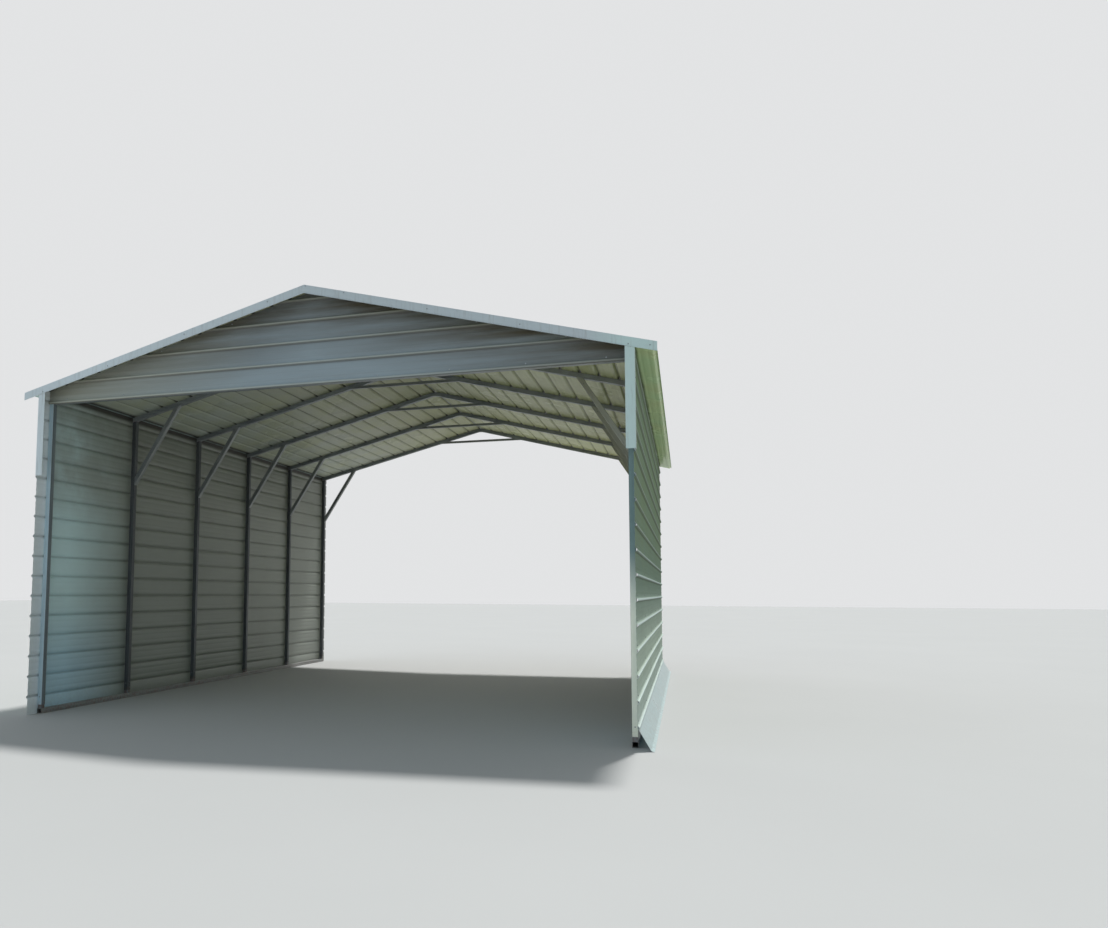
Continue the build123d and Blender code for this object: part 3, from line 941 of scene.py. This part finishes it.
def trim_materials(scene):
    """The slots of a folded trim."""
    colours = scene.carport_colours
    return sheet_materials(
        trim_coat(colours), wall_backer(scene.carport_sheets, colours), colours)


def rake(sheets, trims, name, x_start, x_end, layer, materials):
    """A rake trim: flange, face and lip, carried along both slopes with a plumb mitre at the ridge.
    The face bulges a little where the ribs end behind it."""
    lift = layer * (sheets.thickness + trims.gap)
    top = trim_seat(sheets, trims) + lift
    bottom = top + sheets.thickness - trims.rake_face
    line = [(-trims.rake_flange, top), (0.0, top), (0.0, bottom),
            (sheets.thickness + trims.rake_lip, bottom)]
    round_ridge = [x for x in (-0.012, -0.005, 0.0, 0.005, 0.012) if x_start < x < x_end]
    along = np.unique(np.round(np.append(stations(x_start, x_end, RAKE_STEP), round_ridge), 6))
    rib_step = sheets.rib_pitch / math.hypot(1, sheets.roof_pitch)

    def swell(q, h, x):
        """On the face only, waves up to 0.7 mm, and 0.5 mm more over each rib by a cosine of the way
        to it, to the power of 40."""
        face = np.clip((q + 0.004) / 0.004, 0, 1)
        from_eave = HALF_WIDTH + sheets.roof_overhang - np.abs(x)
        near_rib = np.cos(math.pi * from_eave / rib_step) ** 40
        uneven = waves(SEEDS["rake"], x, 0.0, longest=1.3, shortest=0.18, count=9)
        return face * (0.0007 * uneven + 0.0005 * near_rib)

    def place(q, h, x):
        """Along the front: out by q, and h above the roof's underside."""
        return x, -HALF_SHEET - lift - q, roof_z(sheets, x, h, blunt=0.003)

    skin = Skin()
    folded(skin, line, trims.fold_radius, along, place, sheets.thickness, longest=TRIM_FACET,
           lift=swell)
    piece = skin.make(f"{name}_folded", materials)
    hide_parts(name)


class CARPORT_OT_rakes(bpy.types.Operator):
    """Folds the two rake trims of the front"""
    bl_idname = "carport.rakes"
    bl_label = "Rake trims"

    def execute(self, context):
        scene = context.scene
        sheets, trims = scene.carport_sheets, scene.carport_trims
        materials = trim_materials(scene)
        tip = HALF_WIDTH + sheets.roof_overhang + sheets.rib_base / 2
        joint = trims.rake_joint
        rake(sheets, trims, "left_rake_trim", -tip, joint, 1, materials)
        rake(sheets, trims, "right_rake_trim", joint - trims.rake_lap, tip, 0, materials)
        return {"FINISHED"}


class CARPORT_OT_ridge(bpy.types.Operator):
    """Folds the ridge cap"""
    bl_idname = "carport.ridge"
    bl_label = "Ridge cap"

    def execute(self, context):
        scene = context.scene
        sheets, trims = scene.carport_sheets, scene.carport_trims
        seat = trim_seat(sheets, trims)
        half = HALF_CAP - sheets.thickness
        front = -HALF_SHEET + trims.rake_flange + trims.cap_end_gap
        right = np.array([0.015, 0.04, 0.11, 0.3, 0.6, 1])
        slope = [*-right[::-1], 0, *right]
        line = [(-half, seat - trims.cap_lip), *((x * half, seat) for x in slope),
                (half, seat - trims.cap_lip)]

        def swell(x, h, y):
            """Waves up to 1.2 mm, most in the middle of each slope and none at ridge and edges."""
            out = np.clip(np.abs(x) / half, 0, 1)
            away = np.clip(1 - np.abs(x) / half, 0, 1) * out * 4
            return 0.0012 * away * waves(SEEDS["cap"], x, y, longest=1.4, shortest=0.3)

        skin = Skin()
        folded(skin, line, trims.fold_radius, stations(front, HALF_SHEET, TRIM_STEP),
               lambda x, h, y: (x, y, roof_z(sheets, x, h, blunt=0.004)), sheets.thickness, lift=swell)
        piece = skin.make("ridge_cap_folded", trim_materials(scene))
        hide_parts("ridge_cap")
        return {"FINISHED"}


class CARPORT_OT_corners(bpy.types.Operator):
    """Folds the corner trims on the front edges of the walls"""
    bl_idname = "carport.corners"
    bl_label = "Corner trims"

    def execute(self, context):
        scene = context.scene
        sheets, trims = scene.carport_sheets, scene.carport_trims
        seat = trim_seat(sheets, trims)
        edge = HALF_WIDTH + seat
        outer = edge + sheets.thickness
        inner = outer - trims.corner_face
        drop = seat + sheets.thickness - trims.rake_face - trims.corner_top_gap
        bottom = float(roof_z(sheets, outer, drop)) - trims.corner_length
        line = [(edge, -HALF_SHEET + trims.corner_flange), (edge, -HALF_SHEET), (inner, -HALF_SHEET)]
        for side, name in SIDES:
            def swell(x, y, t):
                """Waves up to 0.6 mm, which die out at both ends."""
                uneven = waves(SEEDS["corner"] + side, x + y, t, longest=1.2, shortest=0.3)
                return 0.0006 * uneven * np.minimum(4 * t * (1 - t), 1)

            def place(x, y, t):
                """Up the corner, from its level foot to its top, which follows the slope."""
                return side * x, y, bottom + t * (roof_z(sheets, x, drop) - bottom)

            skin = Skin()
            folded(skin, line, trims.fold_radius, stations(0, 1, CORNER_STEP), place, sheets.thickness,
                   longest=TRIM_FACET, lift=swell)
            piece = skin.make(f"{name}_corner_folded", trim_materials(scene))
            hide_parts(f"{name}_corner_trim")
        return {"FINISHED"}


class CARPORT_OT_flashing(bpy.types.Operator):
    """Folds the flared flashing at the foot of the right wall"""
    bl_idname = "carport.flashing"
    bl_label = "Foot flashing"

    def execute(self, context):
        scene = context.scene
        sheets, trims, colours = scene.carport_sheets, scene.carport_trims, scene.carport_colours
        top = sheets.wall_first_rib + sheets.rib_base / 2 - trims.flashing_tuck
        line = [(HALF_WIDTH, top), (HALF_WIDTH, top - trims.flashing_leg),
                (HALF_WIDTH + trims.flashing_flare, trims.flashing_toe_height),
                (HALF_WIDTH + trims.flashing_toe, 0.0)]

        def swell(x, z, y):
            """The waves times 2.2 mm, times the share of the flare, times one less 0.8 of that share to
            the power of 8: up to 1.5 mm on the flare and 0.4 mm at its end."""
            share = np.clip((x - HALF_WIDTH) / trims.flashing_flare, 0, 1)
            uneven = waves(SEEDS["flashing"], x, y, longest=2.4, shortest=0.6)
            return 0.0022 * share * (1 - 0.8 * share ** 8) * uneven

        skin = Skin()
        folded(skin, line, trims.fold_radius, stations(-HALF_SHEET, HALF_SHEET, TRIM_STEP),
               lambda x, z, y: (x, y, z), sheets.thickness, longest=FLASHING_FACET, lift=swell)
        outside = coat(
            "flashing_coat", colours.flashing, colours, run=(6, 6, 6), dirt=0.18, gloss=0.30,
            splash=0.45)
        piece = skin.make(
            "right_flashing_folded",
            sheet_materials(outside, wall_backer(sheets, colours), colours))
        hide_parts("right_base_flashing")
        return {"FINISHED"}


# Tubes

class CARPORT_OT_tubes(bpy.types.Operator):
    """Gives the galvanised tubes their finish"""
    bl_idname = "carport.tubes"
    bl_label = "Galvanised tubes"

    def execute(self, context):
        colours = context.scene.carport_colours
        # lighter gives painted shade and light by kind of tube; the right-hand dust is partly painted
        # light
        finishes = {
            "post": galvanised("tube_upright", colours, "Z", rust=0.8, lighter=0.5, painted_front_light=1.45),
            "rail": galvanised("tube_level", colours, "Y", rust=0.5, lighter=1.3, dust=(0.15, 0.15)),
            "bow": galvanised("tube_rafter", colours, "X", lighter=1.2, dust=(0.03, 0.22)),
            "brace": galvanised("tube_brace", colours, "XZ", dust=(0.12, 0.75)),
            "tie": galvanised("tube_tie", colours, "X", lighter=0.9, dust=(0.12, 0.35)),
            "pins": galvanised("tube_pin", colours, "Z", rust=1.0, lighter=0.9),
        }
        finishes["header"] = finishes["bow"]
        for name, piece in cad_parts.items():
            if piece.hide_render:
                continue
            kinds = [kind for kind in finishes if kind in name]
            if len(kinds) != 1:
                raise RuntimeError(f"{name} has no finish of its own")
            for slot in piece.material_slots:
                slot.material = finishes[kinds[0]]
        return {"FINISHED"}


# Screws and welds

def screw_template(fasteners, washer=True):
    """Rings of twelve points round Z: a washer's foot and rim, its cone up to the head's hexagon, the
    hexagon and its cap. Returns points and faces with slots 0 head and 1 washer."""
    sides = 12
    sunk, cone, bevel, cap_share = 0.0003, 0.001, 0.0006, 0.82
    turn = np.arange(sides) * 2 * math.pi / sides
    hexagon = np.where(np.arange(sides) % 2, math.cos(math.pi / 6), 1.0) * fasteners.head_radius
    wide = np.full(sides, fasteners.washer_radius if washer else fasteners.head_radius * 1.25)
    base = 0.0012 if washer else 0.0005
    top = base + cone + fasteners.head_height
    rings = [(wide, -sunk), (wide, base), (hexagon, base + cone), (hexagon, top - bevel),
             (hexagon * cap_share, top)]
    points = np.concatenate([
        np.stack([r * np.cos(turn), r * np.sin(turn), np.full(sides, z)], 1) for r, z in rings])
    index = np.arange(len(rings) * sides).reshape(-1, sides)
    index = np.hstack([index, index[:, :1]])
    wall = grid_quads(index)[:, ::-1]
    cap, foot = index[-1:, :sides], index[:1, :sides][:, ::-1]
    return points, [wall[:sides], wall[sides:], cap, foot], (1, 0, 0, 1)


def copies(skin, template, positions, axes, seed):
    """The template once at each position, its Z turned to the axis there and spun at random."""
    points, faces, slots = template
    positions, axes = np.atleast_2d(positions).astype(float), np.atleast_2d(axes).astype(float)
    axes = np.broadcast_to(axes, positions.shape)
    axes = axes / np.linalg.norm(axes, axis=1, keepdims=True)
    other = np.where(np.abs(axes[:, 1:2]) < 0.9, [[0.0, 1.0, 0.0]], [[1.0, 0.0, 0.0]])
    first = np.cross(other, axes)
    first /= np.linalg.norm(first, axis=1, keepdims=True)
    second = np.cross(axes, first)
    spin = np.random.default_rng(seed).uniform(0, math.pi / 3, len(positions))[:, None]
    u = first * np.cos(spin) + second * np.sin(spin)
    v = np.cross(axes, u)
    turned = np.stack([u, v, axes], 1)
    placed = positions[:, None] + np.einsum("kc,ncd->nkd", points, turned)
    shift = (np.arange(len(positions)) * len(points))[:, None, None]
    spread = [(face[None] + shift).reshape(-1, face.shape[1]) for face in faces]
    skin.add(placed, spread, slots)


def grid_points(first, second):
    """Every pair from two lists of numbers, as two flat arrays."""
    a, b = np.meshgrid(first, second)
    return a.ravel(), b.ravel()


def columns(*values):
    """Numbers and arrays side by side, as one row of coordinates for each place."""
    return np.stack(np.broadcast_arrays(*values), 1)


def strewn(seed, count, spread=0.003):
    """Small seeded distances, spread normally about 0."""
    return np.random.default_rng(seed).normal(0, spread, count)


def panel_screws(skin, template, sheets, place, rows, axis, seed):
    """Screws on every bow, at the given rows across the panels, each a little off its mark."""
    y, a = grid_points(BOW_STATIONS, rows)
    y = y + strewn(seed, len(y))
    a = a + strewn(seed + 2, len(a), 0.0015)
    copies(skin, template, columns(*place(a, sheets.thickness, y)), axis, seed + 4)


class CARPORT_OT_sheet_screws(bpy.types.Operator):
    """Drives the screws that hold walls, roof and gable, with sealing washers"""
    bl_idname = "carport.sheet_screws"
    bl_label = "Sheet screws"

    eave_margin, ridge_margin = 0.06, 0.1
    foot_count, foot_inset = 11, 0.2
    gable_count, gable_inset, gable_above_rib = 9, 0.25, 0.034
    bow_axis = 1.03 * TUBE / 2

    def execute(self, context):
        scene = context.scene
        sheets, fasteners = scene.carport_sheets, scene.carport_fasteners
        colours = scene.carport_colours
        template = screw_template(fasteners)
        painted = screw_metal("screw_painted", shade(colours.trim, 0.6), 0.0, colours)
        materials = (painted, washer_rubber(colours))
        step, beside_rib = sheets.rib_pitch, fasteners.beside_rib
        cos = 1 / math.hypot(1, sheets.roof_pitch)
        wall_reach = sheets.eave_height - sheets.wall_first_rib - self.eave_margin
        wall_rows = np.arange(0, wall_reach, step) + beside_rib
        roof_rows = np.arange(0, slope_length(sheets) - self.ridge_margin, step)[1:] + beside_rib
        for side, name in SIDES:
            skin = Skin()
            panel_screws(skin, template, sheets, wall_place(sheets, side), wall_rows,
                         (side, 0, 0), SEEDS["wall_screws"] + side)
            if side < 0:
                end = HALF_FRAME - self.foot_inset
                foot = columns(
                    -HALF_WIDTH - sheets.thickness, np.linspace(-end, end, self.foot_count), TUBE / 2)
                copies(skin, template, foot, (-1, 0, 0), SEEDS["foot_screws"])
            piece = skin.make(f"{name}_wall_screws", materials)
            skin = Skin()
            panel_screws(skin, template, sheets, roof_place(sheets, side), roof_rows,
                         (side * sheets.roof_pitch * cos, 0, cos), SEEDS["roof_screws"] + side)
            piece = skin.make(f"{name}_roof_screws", materials)
        skin = Skin()
        bottom = gable_bottom(sheets)
        face = -HALF_FRAME - sheets.thickness
        end = HALF_WIDTH - self.gable_inset
        low = columns(np.linspace(-end, end, self.gable_count), face, bottom + self.gable_above_rib)
        copies(skin, template, low, (0, -1, 0), SEEDS["gable_screws"])
        rise = step * np.arange(1, 4) + beside_rib
        x = (float(roof_z(sheets, 0.0)) - self.bow_axis - bottom - rise) / sheets.roof_pitch
        high = columns(np.append(x, -x), face, np.tile(bottom + rise, 2))
        copies(skin, template, high, (0, -1, 0), SEEDS["gable_screws"] + 1)
        piece = skin.make("gable_screws", materials)
        return {"FINISHED"}


class CARPORT_OT_trim_screws(bpy.types.Operator):
    """Drives the screws of the rake trims, the ridge cap and the corner trims"""
    bl_idname = "carport.trim_screws"
    bl_label = "Trim screws"

    # Screws in the rake trims' faces: x, and height over the lower edge
    rake_marks = np.array([
        (-3.317, 0.022), (-2.43, 0.030), (-1.44, 0.055), (-0.428, 0.060), (0.016, 0.078),
        (0.455, 0.072), (1.36, 0.045), (2.30, 0.040), (3.317, 0.022), (3.513, 0.045)])
    # Screws in the rake trims' flanges: x
    flange_marks = np.array([-3.1, -2.2, -1.3, -0.45, 0.6, 1.5, 2.4, 3.2])
    flange_inset = 0.04
    cap_count, cap_end_inset, cap_edge_inset = 14, 0.2, 0.033
    corner_heights = (2.80, 3.09, 3.40, 3.59)
    corner_inset = 0.06
    face_gap = 0.0005

    def execute(self, context):
        scene = context.scene
        sheets, trims, fasteners = scene.carport_sheets, scene.carport_trims, scene.carport_fasteners
        colours = scene.carport_colours
        template = screw_template(fasteners, washer=False)
        crown = trim_seat(sheets, trims) + sheets.thickness
        layer = sheets.thickness + trims.gap
        skin = Skin()
        x, up = self.rake_marks.T
        y = -HALF_SHEET - (x < trims.rake_joint) * layer - sheets.thickness - self.face_gap
        at = columns(x, y, roof_z(sheets, x, crown - trims.rake_face + up))
        copies(skin, template, at, (0, -1, 0), SEEDS["rake_screws"])
        x = self.flange_marks
        z = roof_z(sheets, x, crown + (x < trims.rake_joint) * layer)
        normal = columns(np.sign(x) * sheets.roof_pitch, 0, 1)
        copies(skin, template, columns(x, -HALF_SHEET + self.flange_inset, z), normal,
               SEEDS["flange_screws"])
        end = HALF_SHEET - self.cap_end_inset
        y, side = grid_points(np.linspace(-end, end, self.cap_count), [-1.0, 1.0])
        x = side * (HALF_CAP - self.cap_edge_inset)
        copies(skin, template, columns(x, y, roof_z(sheets, x, crown)),
               columns(side * sheets.roof_pitch, 0, 1), SEEDS["cap_screws"])
        z, side = grid_points(self.corner_heights, [-1.0, 1.0])
        at = columns(side * (HALF_WIDTH + crown), -HALF_SHEET + self.corner_inset, z)
        copies(skin, template, at, columns(side, 0, 0), SEEDS["corner_screws"])
        piece = skin.make("trim_screws", (plated_screw(colours), washer_rubber(colours)))
        return {"FINISHED"}


class CARPORT_OT_frame_screws(bpy.types.Operator):
    """Drives the screws that join posts to pins, and braces and ties to the bows"""
    bl_idname = "carport.frame_screws"
    bl_label = "Frame screws"

    front_pin_height, side_pin_heights, side_pin_shift = 0.189, (0.135, 0.205), 0.006
    brace_foot_inset, brace_head_inset = 0.026, 0.045
    tie_inset, tie_drop = 0.09, 0.006

    def execute(self, context):
        scene = context.scene
        sheets, fasteners = scene.carport_sheets, scene.carport_fasteners
        template = screw_template(fasteners, washer=False)
        plated = plated_screw(scene.carport_colours)
        skin = Skin()
        inner = HALF_WIDTH - TUBE
        # Base pins: one screw in front, two on the inner face
        side, y = grid_points([-1.0, 1.0], BOW_STATIONS)
        front = columns(side * (HALF_WIDTH - TUBE / 2), y - TUBE / 2, self.front_pin_height)
        copies(skin, template, front, (0, -1, 0), SEEDS["pin_screws"])
        for z in self.side_pin_heights:
            seed = round(SEEDS["pin_screws"] + 1 + z * 100)
            at = columns(side * inner, y + self.side_pin_shift, z)
            copies(skin, template, at, columns(-side, 0, 0), seed)
        # Knee braces and ties: a screw through each end, from the front
        foot = float(roof_z(sheets, inner, -TUBE)) - BRACE_DROP
        head = float(roof_z(sheets, inner - BRACE_RUN, -TUBE))
        ends = [self.brace_foot_inset, BRACE_RUN - self.brace_head_inset]
        y, inward = grid_points(BOW_STATIONS[1:], ends)
        z = foot + (head - foot) * inward / BRACE_RUN
        for sign, _ in SIDES:
            at = columns(sign * (inner - inward), y - TUBE / 2, z)
            copies(skin, template, at, (0, -1, 0), SEEDS["brace_screws"] + sign)
        for number in BOW_NUMBERS[1:]:
            low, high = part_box(f"collar_tie_{number}")
            for sign, _ in SIDES:
                at = [(sign * (high.x - self.tie_inset), low.y, (low.z + high.z) / 2 - self.tie_drop)]
                copies(skin, template, at, (0, -1, 0), SEEDS["tie_screws"] + number)
        piece = skin.make("frame_screws", (plated, plated))
        return {"FINISHED"}


def weld_loop(corners, radius, seed):
    """A bead round a closed loop of corners: a small circle carried along it, its size rippled
    lengthwise so that it shows its laid drops."""
    sides, step, drop = 6, 0.0042, 0.0085
    corners = np.asarray(corners, float)
    closed = np.vstack([corners, corners[:1]])
    legs = np.linalg.norm(np.diff(closed, axis=0), axis=1)
    reach = np.concatenate([[0], np.cumsum(legs)])
    count = max(16, int(reach[-1] / step))
    s = np.linspace(0, reach[-1], count, endpoint=False)
    path = np.stack([np.interp(s, reach, closed[:, k]) for k in range(3)], 1)
    ahead = np.roll(path, -1, axis=0) - np.roll(path, 1, axis=0)
    ahead /= np.linalg.norm(ahead, axis=1, keepdims=True)
    up = np.cross(corners[1] - corners[0], corners[2] - corners[1])
    up /= np.linalg.norm(up)
    out = np.cross(ahead, up)
    uneven = np.random.default_rng(seed).uniform(-0.06, 0.06, count)
    size = radius * (0.82 + 0.18 * np.abs(np.sin(s * math.pi / drop)) + uneven)
    turn = np.arange(sides) * 2 * math.pi / sides
    ring = np.cos(turn)[None, :, None] * out[:, None] + np.sin(turn)[None, :, None] * up
    points = path[:, None] + ring * size[:, None, None]
    index = np.arange(count * sides).reshape(count, sides)
    index = np.vstack([index, index[:1]])
    index = np.hstack([index, index[:, :1]])
    return points, grid_quads(index)


class CARPORT_OT_welds(bpy.types.Operator):
    """Lays the weld beads between posts and bows"""
    bl_idname = "carport.welds"
    bl_label = "Weld beads"

    def execute(self, context):
        scene = context.scene
        sheets, fasteners = scene.carport_sheets, scene.carport_fasteners
        skin = Skin()
        inner = HALF_WIDTH - TUBE
        low, high = (float(roof_z(sheets, x, -TUBE)) for x in (HALF_WIDTH, inner))
        for number, y in zip(BOW_NUMBERS, BOW_STATIONS):
            for side, _ in SIDES:
                back, ahead = y - TUBE / 2, y + TUBE / 2
                corners = [(side * inner, back, high), (side * HALF_WIDTH, back, low),
                           (side * HALF_WIDTH, ahead, low), (side * inner, ahead, high)]
                seed = SEEDS["welds"] + number * side
                points, faces = weld_loop(corners, fasteners.weld_radius, seed)
                normal = np.cross(points[1, 0] - points[0, 0], points[0, 1] - points[0, 0])
                if normal @ (points[0, 0] - points[0].mean(0)) > 0:
                    faces = faces[:, ::-1]
                skin.add(points, [faces], (0,))
        piece = skin.make("weld_beads", (weld_metal(scene.carport_colours),), 60.0)
        return {"FINISHED"}


# Stage

def lay_floor(scene):
    """The studio floor, a wide flat square under the carport."""
    reach = 90.0
    corners = [(-reach, -reach, 0), (reach, -reach, 0), (reach, reach, 0), (-reach, reach, 0)]
    mesh = bpy.data.meshes.new("studio_floor")
    mesh.from_pydata(corners, [], [(0, 1, 2, 3)])
    mesh.materials.append(studio_floor(scene.carport_colours.floor))
    floor = bpy.data.objects.new("studio_floor", mesh)
    scene.collection.objects.link(floor)


def hang_key(scene, toward):
    """The key light, far away in the given direction."""
    lamp = bpy.data.lights.new("key", "SUN")
    lamp.energy = scene.carport_light.key
    lamp.angle = scene.carport_light.key_angle
    key = bpy.data.objects.new("key", lamp)
    key.rotation_euler = Vector(toward).to_track_quat("Z", "Y").to_euler()
    scene.collection.objects.link(key)


def light_the_studio(scene):
    """Soft light by heading: one strength before the carport, one behind it, one above, and a dim
    one low on the right. The backdrop itself shows even and pale."""
    light = scene.carport_light
    world = bpy.data.worlds.new("studio")
    world.use_nodes = True
    tree = world.node_tree
    tree.nodes.clear()
    heading = split(tree, node(tree, "TexCoord").outputs["Generated"])
    pale = shade((0.98, 0.99, 1.0), light.backdrop)
    tone = mixed(tree, ranged(tree, heading["Y"], 0.1, 0.6),
                 shade((0.80, 0.96, 1.08), light.front), pale)
    tone = mixed(tree, ranged(tree, heading["Z"], 0.58, 0.85), tone,
                 shade((0.90, 0.96, 1.0), light.top))
    low_right = product(tree, ranged(tree, heading["X"], 0.42, 0.68),
                        ranged(tree, heading["Z"], 0.62, 0.42))
    tone = mixed(tree, low_right, tone, shade((0.90, 1.0, 0.86), light.right))
    tone = mixed(tree, node(tree, "LightPath").outputs["Is Camera Ray"], tone, pale)
    back = node(tree, "Background", {"Color": tone, "Strength": 1.0}).outputs[0]
    node(tree, "OutputWorld", {"Surface": back})
    scene.world = world
    scene.view_settings.view_transform = "Standard"


class CARPORT_OT_stage(bpy.types.Operator):
    """Lays the studio floor and sets the lights and the camera"""
    bl_idname = "carport.stage"
    bl_label = "Studio"

    # The camera's sensor and lens in millimetres, its shift, its place and its angles in radians
    sensor, lens = 36.0, 26.5765
    shift = (0.10591, 0.05975)
    stand = (3.7937, -11.5712, 1.3996)
    yaw, pitch, roll = -0.29609, 0.07635, 0.00479
    # From the carport to the key light
    toward_key = (0.0875, 0.365, 0.927)

    def execute(self, context):
        scene = context.scene
        lay_floor(scene)
        hang_key(scene, self.toward_key)
        light_the_studio(scene)
        camera_data = bpy.data.cameras.new("camera")
        camera_data.sensor_width = self.sensor
        camera_data.lens = self.lens
        camera_data.shift_x, camera_data.shift_y = self.shift
        camera_data.clip_end = 500.0
        camera = bpy.data.objects.new("camera", camera_data)
        ahead = Vector((math.sin(self.yaw) * math.cos(self.pitch),
                        math.cos(self.yaw) * math.cos(self.pitch), math.sin(self.pitch)))
        right = Vector((math.cos(self.yaw), -math.sin(self.yaw), 0.0))
        up = right.cross(ahead)
        across = math.cos(self.roll) * right + math.sin(self.roll) * up
        above = math.cos(self.roll) * up - math.sin(self.roll) * right
        turned = Matrix((across, above, -ahead)).transposed().to_4x4()
        camera.matrix_world = Matrix.Translation(self.stand) @ turned
        scene.collection.objects.link(camera)
        scene.camera = camera
        return {"FINISHED"}


# The add-on

class CARPORT_PT_panel(bpy.types.Panel):
    """Lists the carport's pieces"""
    bl_idname = "CARPORT_PT_panel"
    bl_label = "Steel carport"
    bl_space_type = "VIEW_3D"
    bl_region_type = "UI"
    bl_category = "Carport"

    def draw(self, context):
        for operator in OPERATORS:
            self.layout.operator(operator.bl_idname)
        for name, group in GROUPS.items():
            box = self.layout.box()
            box.label(text=group.__doc__)
            for key in group.__annotations__:
                box.prop(getattr(context.scene, name), key)


OPERATORS = (
    CARPORT_OT_walls, CARPORT_OT_roof, CARPORT_OT_gable, CARPORT_OT_rakes, CARPORT_OT_ridge,
    CARPORT_OT_corners, CARPORT_OT_flashing, CARPORT_OT_tubes, CARPORT_OT_sheet_screws,
    CARPORT_OT_trim_screws, CARPORT_OT_frame_screws, CARPORT_OT_welds, CARPORT_OT_stage,
)


def register():
    for kind in (*GROUPS.values(), *OPERATORS, CARPORT_PT_panel):
        bpy.utils.register_class(kind)
    for name, group in GROUPS.items():
        setattr(bpy.types.Scene, name, PointerProperty(type=group))


def unregister():
    for name in GROUPS:
        delattr(bpy.types.Scene, name)
    for kind in reversed((*GROUPS.values(), *OPERATORS, CARPORT_PT_panel)):
        bpy.utils.unregister_class(kind)


def main():
    """Registers the add-on and makes each piece in order."""
    register()
    for operator in OPERATORS:
        group, name = operator.bl_idname.split(".")
        getattr(getattr(bpy.ops, group), name)()


if __name__ == "__main__":
    main()
